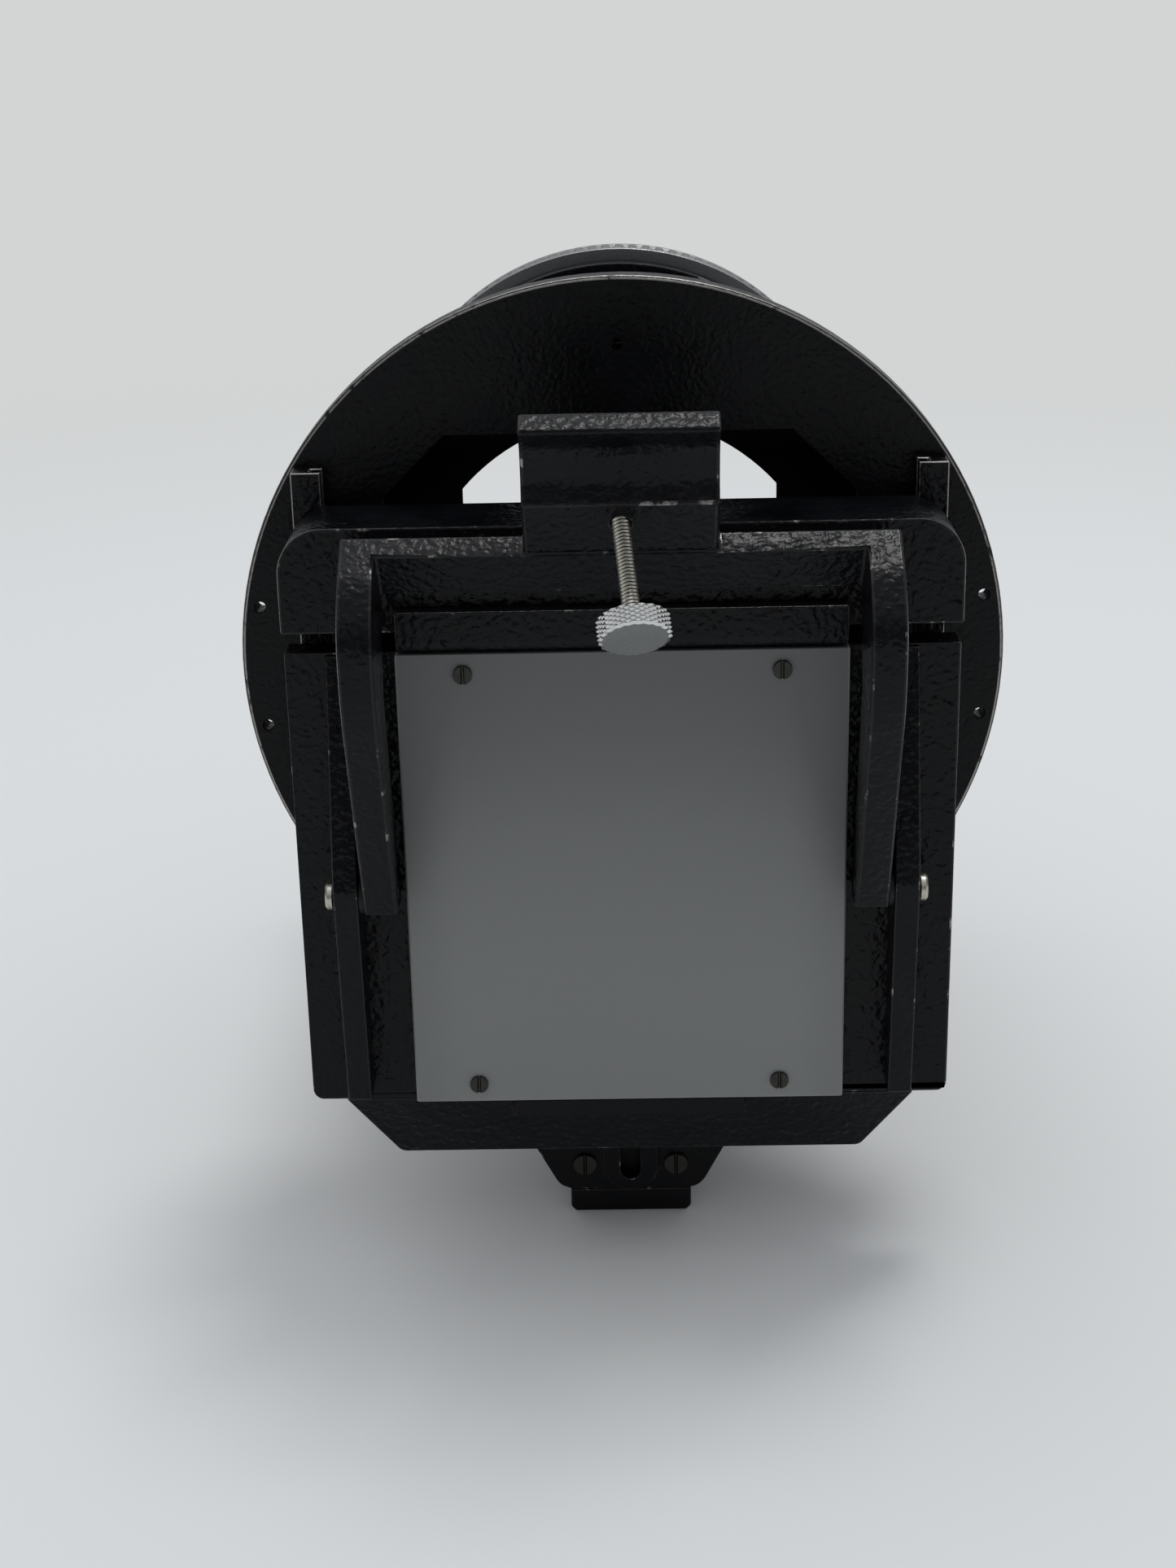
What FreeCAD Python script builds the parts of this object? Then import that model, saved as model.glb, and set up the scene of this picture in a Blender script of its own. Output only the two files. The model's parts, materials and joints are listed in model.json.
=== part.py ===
import FreeCAD, Part
import math
import os
import re
import Sketcher

# Film and slide copy stage: a swinging yoke with a clamp screw over an opal diffuser, on a carriage
# that slides on a turning disc, with a bellows, a lens ring and a dovetail rail behind it.
# Frame: X to the right, Y away from the diffuser, Z up. The origin is the centre of the foot's base.

doc = FreeCAD.newDocument("copy_stage")
sheet = doc.addObject("Spreadsheet::Sheet", "Sizes")
Vector = FreeCAD.Vector

SIZES = {
    # heights and stations on the optical axis
    "axis_height": 144, "disc_overhang": 2.5, "stage_standoff": 25.75, "stage_drop": 47.35, "overshoot": 1,
    # turning disc
    "disc_diameter": 175, "disc_thickness": 6.5, "disc_rim_chamfer": 0.6,
    "opening_side": 13.5, "opening_end": 14, "opening_chamfer": 14.5,
    "disc_hole_radius": 1.25, "disc_hole_inset": 5, "disc_hole_rise": 14.2, "top_hole_inset": 15,
    "hub_radius": 72, "hub_wall": 5, "hub_length": 10, "disc_gap": 0.5,
    "retainer_lip": 4, "retainer_thickness": 3, "running_clearance": 0.05,
    "retainer_screw_count": 6, "retainer_screw_start": 30,
    # guide rails on the disc
    "guide_inner": 66.2, "guide_width": 6.7, "guide_depth": 6.4, "guide_half_length": 46.5,
    "tongue_width": 2.4, "tongue_depth": 2.6, "slide_clearance": 0.2,
    # sliding stage
    "slide_gap": 0.3, "slide_thickness": 5.6, "slide_rise": 6.1, "slide_head": 2.6,
    "window_half": 31, "window_level": 5.2, "box_inset": 8.2, "box_wall": 6,
    "box_rise": 8.1, "box_head": 2.2, "stage_half_width": 74, "stage_thickness": 8,
    "stage_bottom": -51.1, "stage_top": 58.2, "stage_corner": 2.5,
    "block_gap": 5, "block_height": 23.4, "block_front": 3, "block_corner": 10.3,
    "bar_side_gap": 1.9, "bar_rise": 0.4, "bar_height": 9.4, "bar_depth": 4.4, "bar_round": 3,
    # cheeks and pivots
    "cheek_setback": 9.1, "cheek_thickness": 5.5, "cheek_head": 0.6, "cheek_top_depth": 0.6,
    "cheek_foot": 3.7, "cheek_nose": 4.7, "cheek_nose_rise": 2.1, "cheek_round": 6, "cheek_heel": 7.6,
    "pivot_forward": 8.2, "pivot_level": 4.1, "pivot_radius": 2, "pivot_short": 1.2,
    "pivot_head_radius": 3.2, "pivot_head_height": 2, "washer_radius": 4, "washer_clearance": 0.1,
    # apron with its blank plate
    "apron_inset": 7.5, "apron_taper": 11.8, "apron_height": 18.4, "apron_thickness": 5,
    "apron_lean": 19, "plate_half_width": 27, "plate_height": 5.6, "plate_recess": 0.8, "plate_gap": 0.2,
    # diffuser sandwich
    "frame_side": 3.7, "frame_foot": 3.5, "frame_head": 3.4, "frame_wall": 9, "frame_depth": 2.2,
    "opal_gap": 1.5, "opal_foot": 2.1, "opal_head": 1, "opal_thickness": 3.8,
    "opal_screw_side": 14.6, "opal_screw_inset": 4.6, "screw_head_radius": 2.1, "screw_head_height": 0.9,
    "screw_radius": 1.2, "slot_width": 0.6, "slot_depth": 0.5,
    "glass_lap": 3, "glass_thickness": 2,
    # yoke
    "arm_gap": 1.3, "arm_width": 7.4, "arm_foot_forward": 4.7, "arm_foot_drop": 3.1,
    "arm_bend_forward": 34.8, "arm_bend_level": 55, "arm_crown_forward": 35.6, "arm_crown_level": 71.5,
    "arm_crest_forward": 28, "arm_crest_level": 81.6, "arm_heel_back": 5.8, "arm_heel_drop": 3.9,
    "arm_back_forward": 17.2, "arm_back_level": 54, "yoke_top_forward": 18, "yoke_top_level": 88.4,
    "cross_back_level": 80, "cross_back_forward": 9.6, "cross_front_level": 75.2,
    "cross_front_forward": 15, "cross_edge_forward": 22.4, "cross_edge_level": 85.408,
    "arm_bend_round": 45, "crown_round": 16,
    "tab_half_width": 20, "tab_centre": 0.2, "fold_forward": 31.02, "fold_level": 97.3,
    "scoop_low_forward": 29.6, "scoop_low_level": 101.5, "scoop_high_forward": 31.2,
    "scoop_high_level": 109, "lip_forward": 38.5, "lip_level": 113.7,
    "lip_back_forward": 32.6, "lip_back_level": 117, "tab_thickness": 6.2, "tab_round": 1.6,
    "lip_round": 0.8, "scoop_round": 6, "fold_back_rise": 4.7, "tab_foot_back": 1, "tab_foot_rise": 7,
    # clamp screw
    "screw_step": 12.6, "screw_rise": 17.4, "screw_droop": 46.5, "screw_yaw": 5.5, "screw_hole_reach": 20,
    "shank_radius": 1.9, "shank_reach": 21.7, "shank_tail": 11, "thread_clearance": 0.05,
    "knob_radius": 7.55, "knob_height": 4.6, "knob_bore_depth": 2.6, "knob_edge": 0.5,
    # foot and rail
    "foot_length": 131, "foot_width": 30, "foot_height": 6.3, "foot_chamfer": 1.2,
    "rail_half_bottom": 17.2, "rail_half_top": 26.6, "rail_height": 17.7, "rail_length": 200,
    "rail_slot_width": 12, "rail_slot_depth": 5, "end_thickness": 3, "end_round": 5,
    "boss_radius": 7, "boss_height": 1, "boss_drop": 12, "boss_rise": 1.5,
    "slot_radius": 2.4, "slot_drop": 5,
    "end_screw_side": 5.9, "end_screw_rise": 7.1, "end_screw_radius": 2.9, "end_screw_height": 1,
    "bush_radius": 7, "bush_bore_radius": 3.175, "bush_y": -22,
    # front standard, drum and baffle
    "drum_gap": 1, "drum_wall": 3, "standard_thickness": 9, "post_half_width": 25, "post_cover": 4,
    "post_foot_length": 30, "post_foot_height": 6, "drum_length": 17.5,
    "baffle_thickness": 1.6, "baffle_rim": 5, "baffle_flat": 17.5,
    "bolt_radius": 2, "bolt_head_radius": 3.5, "bolt_head_height": 3, "bolt_length": 10,
    "bolt_side": 6, "bolt_end": 4.5,
    # bellows and lens end
    "bellows_bore_radius": 55, "bellows_wall": 6, "bellows_flange": 2, "bellows_frame": 2,
    "lens_station": 17, "rear_flange": 4, "rear_thickness": 8, "rear_bore_step": 1, "rear_land": 8,
    "ring_flange": 3.2, "ring_thickness": 10,
    "saddle_setback": 5.5, "saddle_length": 42, "saddle_height": 12, "saddle_wall": 9.4,
    "saddle_foot": 14, "rail_clearance": 0.2,
    # lock screws
    "lock_radius": 2.5, "lock_knob_radius": 6, "lock_knob_height": 8, "lock_angle": 40,
    "lock_knob_gap": 1.5, "lock_seat": 0.3, "lock_drop": 6, "carriage_knob_radius": 7,
}
for row, (alias, value) in enumerate(SIZES.items(), start=1):
    sheet.set("A%d" % row, alias)
    sheet.set("B%d" % row, str(value))
    sheet.setAlias("B%d" % row, alias)
doc.recompute()

# Places that several pieces share, in terms of the sheet.
SHARED = {
    "rail_front": "(-foot_length / 2 + end_thickness)",
    "rail_back": "(rail_front + rail_length)",
    "rail_top": "(foot_height + rail_height)",
    "disc_front": "(rail_front - disc_overhang)",
    "disc_back": "(disc_front + disc_thickness)",
    "hub_back": "(disc_back + hub_length)",
    "hub_bore_radius": "(hub_radius - hub_wall)",
    "retainer_radius": "(hub_radius + retainer_lip)",
    "retainer_pitch": "((hub_radius + hub_bore_radius) / 2)",
    "drum_bore_radius": "(retainer_radius + drum_gap)",
    "standard_radius": "(drum_bore_radius + drum_wall)",
    "standard_front": "(disc_back + disc_gap)",
    "standard_back": "(standard_front + standard_thickness)",
    "baffle_front": "(standard_back + drum_length)",
    "baffle_back": "(baffle_front + baffle_thickness)",
    "baffle_opening_radius": "(bellows_bore_radius - baffle_rim)",
    "baffle_opening_half": "(bellows_bore_radius - baffle_flat)",
    "bellows_radius": "(bellows_bore_radius + bellows_wall)",
    "bellows_frame_radius": "(bellows_radius + bellows_flange)",
    "rear_bore_radius": "(bellows_bore_radius - rear_bore_step)",
    "rear_radius": "(bellows_frame_radius + rear_flange)",
    "rear_seat": "(axis_height - rear_bore_radius - rear_land)",
    "ring_radius": "(rear_radius + ring_flange)",
    "saddle_back": "(rail_back - saddle_setback)",
    "saddle_front": "(saddle_back - saddle_length)",
    "saddle_middle": "(saddle_back - saddle_length / 2)",
    "saddle_top": "(rail_top + saddle_height)",
    "saddle_half_width": "(rail_half_top + saddle_wall)",
    "lens_front": "(saddle_front + lens_station)",
    "rail_lean": "((rail_half_top - rail_half_bottom) / rail_height)",
    "lock_level": "(rail_top - lock_drop)",
    "boss_level": "(rail_top - boss_drop)",
    "end_screw_x": "(rail_half_bottom - end_screw_side)",
    "stage_front": "(disc_front - stage_standoff)",
    "stage_back": "(stage_front + stage_thickness)",
    "stage_level": "(axis_height - stage_drop)",
    "slide_front": "(disc_front - disc_gap - slide_thickness)",
    "slide_middle": "(disc_front - disc_gap - slide_thickness / 2)",
    "slide_half_width": "(guide_inner - slide_gap)",
    "slide_bottom": "(stage_bottom + slide_rise)",
    "slide_top": "(block_top - slide_head)",
    "box_half_width": "(guide_inner - box_inset)",
    "box_bottom": "(stage_bottom + box_rise)",
    "box_top": "(stage_top - box_head)",
    "block_bottom": "(stage_top + block_gap)",
    "block_top": "(block_bottom + block_height)",
    "block_back": "(disc_front - guide_depth - slide_clearance)",
    "cheek_outer": "(stage_half_width - cheek_setback)",
    "cheek_inner": "(cheek_outer - cheek_thickness)",
    "cheek_top": "(stage_top - cheek_head)",
    "arm_outer": "(cheek_inner - arm_gap)",
    "arm_inner": "(arm_outer - arm_width)",
    "apron_top_half": "(stage_half_width - apron_inset)",
    "apron_foot_half": "(apron_top_half - apron_taper)",
    "opal_half_width": "(arm_inner - opal_gap)",
    "opal_bottom": "(stage_bottom + opal_foot)",
    "opal_top": "(stage_top + opal_head)",
    "opal_screw_x": "(opal_half_width - opal_screw_side)",
    "gate_front": "(stage_front - frame_depth)",
    "opal_front": "(gate_front - opal_thickness)",
    "frame_half_width": "(opal_half_width - frame_side)",
    "frame_bottom": "(opal_bottom + frame_foot)",
    "frame_top": "(opal_top - frame_head)",
    "bar_half_width": "(arm_inner - bar_side_gap)",
    "bar_bottom": "(opal_top + bar_rise)",
    "bar_top": "(bar_bottom + bar_height)",
    "bar_front": "(block_front + bar_depth)",
    "glass_half": "(window_half + glass_lap)",
}


def ref(text):
    """Turn plain names into expressions on the sheet."""
    def expand(match):
        word = match.group(0)
        if word in SHARED:
            return ref(SHARED[word])
        return "Sizes." + word if word in SIZES else word
    return re.sub(r"[a-z_]+[a-z0-9_]*", expand, str(text))


def number(text):
    """The value of an expression, for the few shapes that are not bound."""
    value = sheet.evalExpression(ref(text))
    return float(getattr(value, "Value", value))


def bind(item, path, text):
    item.setExpression(path, ref(text))


def seat(item, place):
    """Bind an object's base point to three expressions."""
    for axis, text in zip("xyz", place):
        bind(item, ".Placement.Base." + axis, text)


TURNS = {
    "Z": FreeCAD.Rotation(), "-Z": FreeCAD.Rotation(Vector(1, 0, 0), 180),
    "X": FreeCAD.Rotation(Vector(0, 1, 0), 90), "-X": FreeCAD.Rotation(Vector(0, 1, 0), -90),
    "Y": FreeCAD.Rotation(Vector(1, 0, 0), -90), "-Y": FreeCAD.Rotation(Vector(1, 0, 0), 90),
}


def rod(name, radius, length, place, axis="Y"):
    item = doc.addObject("Part::Cylinder", name)
    item.Placement = FreeCAD.Placement(Vector(), TURNS[axis])
    bind(item, "Radius", radius)
    bind(item, "Height", length)
    seat(item, place)
    return item


def box(name, low, high):
    """A box from its low corner to its high corner, each three expressions."""
    item = doc.addObject("Part::Box", name)
    for side, a, b in zip(("Length", "Width", "Height"), low, high):
        bind(item, side, "(%s) - (%s)" % (b, a))
    seat(item, low)
    return item


def joined(name, pieces):
    item = doc.addObject("Part::MultiFuse", name)
    item.Shapes = pieces
    item.Refine = True
    return item


def group(name, pieces):
    item = doc.addObject("Part::Compound", name)
    item.Links = pieces
    return item


def cut(name, base, tools):
    tool = tools[0] if len(tools) == 1 else group(name + "_tools", tools)
    item = doc.addObject("Part::Cut", name)
    item.Base = base
    item.Tool = tool
    return item


def tube(name, outer, inner, length, place, axis="Y"):
    shell = rod(name + "_outside", outer, length, place, axis)
    bore = rod(name + "_bore", inner, length, place, axis)
    return cut(name, shell, [bore])


def draw_outline(sketch, points):
    """A closed run of lines whose corners are held at (x, y) expressions."""
    places = [Vector(number(x), number(y), 0) for x, y in points]
    first = sketch.GeometryCount
    for index, place in enumerate(places):
        sketch.addGeometry(Part.LineSegment(place, places[(index + 1) % len(places)]), False)
    for index, (x, y) in enumerate(points):
        line = first + index
        following = first + (index + 1) % len(points)
        sketch.addConstraint(Sketcher.Constraint("Coincident", line, 2, following, 1))
        for kind, text in (("DistanceX", x), ("DistanceY", y)):
            held = sketch.addConstraint(Sketcher.Constraint(kind, -1, 1, line, 1, number(text)))
            sketch.setExpression("Constraints[%d]" % held, ref(text))


def draw_circle(sketch, x, y, radius):
    centre = Vector(number(x), number(y), 0)
    circle = sketch.addGeometry(Part.Circle(centre, Vector(0, 0, 1), number(radius)), False)
    held = sketch.addConstraint(Sketcher.Constraint("Radius", circle, number(radius)))
    sketch.setExpression("Constraints[%d]" % held, ref(radius))
    for kind, text in (("DistanceX", x), ("DistanceY", y)):
        held = sketch.addConstraint(Sketcher.Constraint(kind, -1, 1, circle, 3, number(text)))
        sketch.setExpression("Constraints[%d]" % held, ref(text))


PLANES = {"front": ("XZ_Plane", -1), "side": ("YZ_Plane", 1), "top": ("XY_Plane", 1)}


def prism(name, view, outlines, start, depth, circles=(), rounds=()):
    """Pad outlines drawn in a view. A front view starts at its back face and pads towards -Y."""
    role, sign = PLANES[view]
    body = doc.addObject("PartDesign::Body", name)
    sketch = body.newObject("Sketcher::SketchObject", name + "_outline")
    plane = [item for item in body.Origin.OriginFeatures if item.Role == role][0]
    sketch.AttachmentSupport = [(plane, "")]
    sketch.MapMode = "FlatFace"
    bind(sketch, ".AttachmentOffset.Base.z", "%d * (%s)" % (sign, start))
    for outline in outlines:
        draw_outline(sketch, outline)
    for circle in circles:
        draw_circle(sketch, *circle)
    pad = body.newObject("PartDesign::Pad", name + "_pad")
    pad.Profile = sketch
    bind(pad, "Length", depth)
    doc.recompute()
    for index, (radius, corners) in enumerate(rounds):
        round_corners(body, view, "%s_round_%d" % (name, index), radius, corners)
    return body


def round_corners(body, view, name, radius, corners):
    """Fillet the long edges of a prism that stand at the given corners of its outline."""
    base = body.Tip
    axes = {"front": (0, 2), "side": (1, 2), "top": (0, 1)}[view]
    wanted = [(number(x), number(y)) for x, y in corners]
    names = []
    for index, edge in enumerate(base.Shape.Edges, start=1):
        ends = [vertex.Point for vertex in edge.Vertexes]
        if len(ends) == 2 and all(abs(ends[0][k] - ends[1][k]) < 1e-4 for k in axes):
            spot = (ends[0][axes[0]], ends[0][axes[1]])
            if min(math.dist(spot, place) for place in wanted) < 1e-3:
                names.append("Edge%d" % index)
    fillet = body.newObject("PartDesign::Fillet", name)
    fillet.Base = (base, names)
    bind(fillet, "Radius", radius)
    doc.recompute()


def rectangle(x0, y0, x1, y1):
    return [(x0, y0), (x1, y0), (x1, y1), (x0, y1)]


def stage_z(level):
    return "stage_level + %s" % level


def stage_y(forward):
    return "stage_front - (%s)" % forward


nodes = []


def keep(label, item):
    item.Label = label
    nodes.append(item)
    return item


# --- turning disc ---------------------------------------------------------------------------------

def mounting_disc():
    half_x, half_z = "(hub_bore_radius - opening_side)", "(hub_bore_radius - opening_end)"
    hole_x = "(disc_diameter / 2 - disc_hole_inset)"
    corner = "opening_chamfer"
    opening = [
        ("%s - %s" % (half_x, corner), "axis_height + " + half_z),
        (half_x, "axis_height + %s - %s" % (half_z, corner)),
        (half_x, "axis_height - %s + %s" % (half_z, corner)),
        ("%s - %s" % (half_x, corner), "axis_height - " + half_z),
        ("-%s + %s" % (half_x, corner), "axis_height - " + half_z),
        ("-" + half_x, "axis_height - %s + %s" % (half_z, corner)),
        ("-" + half_x, "axis_height + %s - %s" % (half_z, corner)),
        ("-%s + %s" % (half_x, corner), "axis_height + " + half_z),
    ]
    circles = [("0", "axis_height", "disc_diameter / 2")]
    for side in ("", "-"):
        for end in ("+", "-"):
            circles.append((side + hole_x, "axis_height %s disc_hole_rise" % end, "disc_hole_radius"))
    circles.append(("0", "axis_height + disc_diameter / 2 - top_hole_inset", "disc_hole_radius"))
    disc = prism("mounting_disc", "front", [opening], "disc_back", "disc_thickness", circles)
    rim = [
        "Edge%d" % index for index, edge in enumerate(disc.Tip.Shape.Edges, start=1)
        if hasattr(edge.Curve, "Radius") and abs(edge.Curve.Radius - number("disc_diameter / 2")) < 1e-3
        and len(edge.Vertexes) == 1
    ]
    base = disc.Tip
    chamfer = disc.newObject("PartDesign::Chamfer", "disc_rim")
    chamfer.Base = (base, rim)
    bind(chamfer, "Size", "disc_rim_chamfer")
    return disc


def guide_rail(side):
    """A rail on the disc's face, with a groove along its inner side for the stage's tongue."""
    sign = "-" if side == "left" else ""
    low, high = ("guide_inner", "guide_inner + guide_width")
    if sign:
        low, high = ("-guide_inner - guide_width", "-guide_inner")
    bottom, top = ("axis_height - guide_half_length", "axis_height + guide_half_length")
    bar = box("guide_bar_" + side, (low, "disc_front - guide_depth", bottom), (high, "disc_front", top))
    groove_in, groove_out = "guide_inner - overshoot", "guide_inner + tongue_width + slide_clearance"
    if sign:
        groove_in, groove_out = "-guide_inner - tongue_width - slide_clearance", "-guide_inner + overshoot"
    centre = "slide_middle"
    half = "(tongue_depth / 2 + slide_clearance)"
    groove = box("guide_groove_" + side, (groove_in, "%s - %s" % (centre, half), bottom),
                 (groove_out, "%s + %s" % (centre, half), top))
    return cut("guide_rail_" + side, bar, [groove])


keep("mounting_disc", mounting_disc())
keep("disc_hub", tube("disc_hub", "hub_radius", "hub_bore_radius", "hub_length",
                      ("0", "disc_back", "axis_height")))


def retainer_spots():
    """Expressions for the retainer's screws, evenly spaced on a circle about the optical axis."""
    count = SIZES["retainer_screw_count"]
    for index in range(count):
        angle = "((retainer_screw_start + %d * 360 / retainer_screw_count) * 1 deg)" % index
        yield ("retainer_pitch * cos%s" % angle, "axis_height + retainer_pitch * sin%s" % angle)


def hub_retainer():
    ring = tube("retainer_ring", "retainer_radius", "hub_bore_radius", "retainer_thickness",
                ("0", "hub_back", "axis_height"))
    holes = [
        rod("retainer_hole_%d" % index, "screw_radius", "retainer_thickness", (x, "hub_back", z))
        for index, (x, z) in enumerate(retainer_spots())
    ]
    return cut("hub_retainer", ring, holes)


def cheese_screws(name, spots, face, axis, head_radius, head_height, shank_radius, shank_length):
    """Slotted screws whose heads sit on a face; each is one solid."""
    sign = -1 if axis == "-Y" else 1
    screws = []
    for index, (x, z) in enumerate(spots):
        head = rod("%s_head_%d" % (name, index), head_radius, head_height, (x, face, z), axis)
        back = "-Y" if axis == "Y" else "Y"
        shank = rod("%s_shank_%d" % (name, index), shank_radius, shank_length, (x, face, z), back)
        solid = joined("%s_solid_%d" % (name, index), [head, shank])
        top = "%s + %d * (%s)" % (face, sign, head_height)
        floor = "%s + %d * (%s - slot_depth)" % (face, sign, head_height)
        near, far = (top + " - overshoot", floor) if sign < 0 else (floor, top + " + overshoot")
        slot = box("%s_slot_%d" % (name, index),
                   ("%s - slot_width / 2" % x, near, "%s - %s - overshoot" % (z, head_radius)),
                   ("%s + slot_width / 2" % x, far, "%s + %s + overshoot" % (z, head_radius)))
        screws.append(cut("%s_%d" % (name, index), solid, [slot]))
    return group(name, screws)


keep("hub_retainer", hub_retainer())
keep("retainer_screws", cheese_screws(
    "retainer_screws", list(retainer_spots()), "hub_back + retainer_thickness", "Y",
    "screw_head_radius", "screw_head_height", "screw_radius", "retainer_thickness"))
for side in ("left", "right"):
    keep("guide_rail_" + side, guide_rail(side))

# --- sliding stage --------------------------------------------------------------------------------

def window(name, y0, y1):
    """The film window as a cutting box from one station to another."""
    centre = stage_z("window_level")
    return box(name, ("-window_half", y0, centre + " - window_half"),
               ("window_half", y1, centre + " + window_half"))


def slide_plate():
    plate = box("slide_body", ("-slide_half_width", "slide_front", stage_z("slide_bottom")),
                ("slide_half_width", "disc_front - disc_gap", stage_z("slide_top")))
    centre = "slide_middle"
    tongues = []
    for name, low, high in (("left", "-slide_half_width - tongue_width", "-slide_half_width"),
                            ("right", "slide_half_width", "slide_half_width + tongue_width")):
        tongues.append(box("tongue_" + name, (low, centre + " - tongue_depth / 2", stage_z("slide_bottom")),
                           (high, centre + " + tongue_depth / 2", stage_z("slide_top"))))
    whole = joined("slide_whole", [plate] + tongues)
    return cut("slide_plate", whole, [window("slide_window", "slide_front - overshoot", "disc_front")])


def stage_box():
    """The light-tight box between the slide plate and the stage plate."""
    outside = box("box_outside", ("-box_half_width", "stage_back", stage_z("box_bottom")),
                  ("box_half_width", "slide_front", stage_z("box_top")))
    inside = box("box_inside",
                 ("-box_half_width + box_wall", "stage_front", stage_z("box_bottom + box_wall")),
                 ("box_half_width - box_wall", "disc_front", stage_z("box_top - box_wall")))
    return cut("stage_box", outside, [inside])


def stage_plate():
    corners = [("-stage_half_width", stage_z("stage_bottom")), ("stage_half_width", stage_z("stage_bottom"))]
    outline = rectangle("-stage_half_width", stage_z("stage_bottom"),
                        "stage_half_width", stage_z("stage_top"))
    centre = stage_z("window_level")
    opening = rectangle("-window_half", centre + " - window_half", "window_half", centre + " + window_half")
    return prism("stage_plate_body", "front", [outline, opening], "stage_back", "stage_thickness",
                 rounds=[("stage_corner", corners)])


def film_glass():
    centre = stage_z("window_level")
    return box("film_glass_body", ("-glass_half", "stage_back", centre + " - glass_half"),
               ("glass_half", "stage_back + glass_thickness", centre + " + glass_half"))


def top_block():
    outline = rectangle("-stage_half_width", stage_z("block_bottom"),
                        "stage_half_width", stage_z("block_top"))
    upper = [("-stage_half_width", stage_z("block_top")), ("stage_half_width", stage_z("block_top"))]
    depth = "block_back - (%s)" % stage_y("block_front")
    return prism("top_block_body", "front", [outline], "block_back", depth,
                 rounds=[("block_corner", upper)])


def gate_bar():
    """The rounded bar under the block, over the diffuser's top edge."""
    outline = [
        (stage_y("block_front"), stage_z("bar_top")), (stage_y("block_front"), stage_z("bar_bottom")),
        (stage_y("bar_front"), stage_z("bar_bottom")),
        (stage_y("bar_front"), stage_z("bar_top")),
    ]
    return prism("gate_bar_body", "side", [outline], "-bar_half_width", "2 * bar_half_width",
                 rounds=[("bar_round", [outline[2]])])


def cheek(side):
    outline = [
        ("stage_front", stage_z("stage_bottom + cheek_foot")),
        (stage_y("cheek_heel"), stage_z("stage_bottom + cheek_foot")),
        (stage_y("pivot_forward + cheek_nose"), stage_z("pivot_level + cheek_nose_rise")),
        (stage_y("cheek_top_depth"), stage_z("cheek_top")), ("stage_front", stage_z("cheek_top")),
    ]
    hole = (stage_y("pivot_forward"), stage_z("pivot_level"), "pivot_radius")
    start = "-cheek_outer" if side == "left" else "cheek_inner"
    return prism("cheek_body_" + side, "side", [outline], start, "cheek_thickness", [hole],
                 rounds=[("cheek_round", [outline[2]])])


def pivot_screws():
    screws = []
    for name, outward, inward in (("left", "-X", "X"), ("right", "X", "-X")):
        face = "-cheek_outer" if name == "left" else "cheek_outer"
        place = (face, stage_y("pivot_forward"), stage_z("pivot_level"))
        head = rod("pivot_head_" + name, "pivot_head_radius", "pivot_head_height", place, outward)
        reach = "cheek_thickness + arm_gap + arm_width - pivot_short"
        pin = rod("pivot_pin_" + name, "pivot_radius", reach, place, inward)
        screws.append(joined("pivot_screw_" + name, [head, pin]))
    return group("pivot_screws_group", screws)


def pivot_washers():
    rings = []
    for name, start in (("left", "-cheek_inner"), ("right", "arm_outer + washer_clearance")):
        rings.append(tube("pivot_washer_" + name, "washer_radius", "pivot_radius + running_clearance",
                          "arm_gap - washer_clearance",
                          (start, stage_y("pivot_forward"), stage_z("pivot_level")), "X"))
    return group("pivot_washers_group", rings)


def leaned(item):
    """Lean a piece back about the stage plate's lower front edge."""
    hinge = Vector(0, number("stage_front"), number(stage_z("stage_bottom")))
    turn = FreeCAD.Rotation(Vector(1, 0, 0), number("apron_lean"))
    item.Placement = FreeCAD.Placement(Vector(), turn, hinge).multiply(item.Placement)
    return item


def apron():
    top, foot = stage_z("stage_bottom"), stage_z("stage_bottom - apron_height")
    outline = [("-apron_foot_half", foot), ("apron_foot_half", foot), ("apron_top_half", top),
               ("-apron_top_half", top)]
    body = prism("apron_body", "front", [outline], "stage_front + apron_thickness", "apron_thickness",
                 rounds=[("stage_corner", outline[:2])])
    recess = box("apron_recess",
                 ("-plate_half_width", "stage_front - overshoot", stage_z("stage_bottom - plate_height")),
                 ("plate_half_width", "stage_front + plate_recess", stage_z("stage_bottom + overshoot")))
    leaning = leaned(cut("apron_leaning", body, [recess]))
    above = box("apron_above", ("-stage_half_width", "stage_front - stage_thickness", top),
                ("stage_half_width", "stage_front + 2 * stage_thickness", top + " + stage_thickness"))
    return cut("apron_solid", leaning, [above])


def name_plate():
    return leaned(box(
        "plate_solid", ("-plate_half_width + plate_gap", "stage_front + plate_recess / 2",
                        stage_z("stage_bottom - plate_height + plate_gap")),
        ("plate_half_width - plate_gap", "stage_front + plate_recess", stage_z("stage_bottom - plate_gap"))))


def diffuser_frame():
    outside = box("frame_outside", ("-frame_half_width", "gate_front", stage_z("frame_bottom")),
                  ("frame_half_width", "stage_front", stage_z("frame_top")))
    side = "(frame_half_width - frame_wall)"
    inside = box("frame_inside",
                 ("-" + side, "gate_front - overshoot", stage_z("frame_bottom + frame_wall")),
                 (side, "stage_front + overshoot", stage_z("frame_top - frame_wall")))
    return cut("diffuser_frame_body", outside, [inside])


def opal_spots():
    for level in ("opal_bottom + opal_screw_inset", "opal_top - opal_screw_inset"):
        for side in ("-", ""):
            yield (side + "opal_screw_x", stage_z(level))


def opal_diffuser():
    outline = rectangle("-opal_half_width", stage_z("opal_bottom"), "opal_half_width", stage_z("opal_top"))
    holes = [(x, z, "screw_radius") for x, z in opal_spots()]
    return prism("opal_body", "front", [outline], "gate_front", "opal_thickness", holes)


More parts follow.
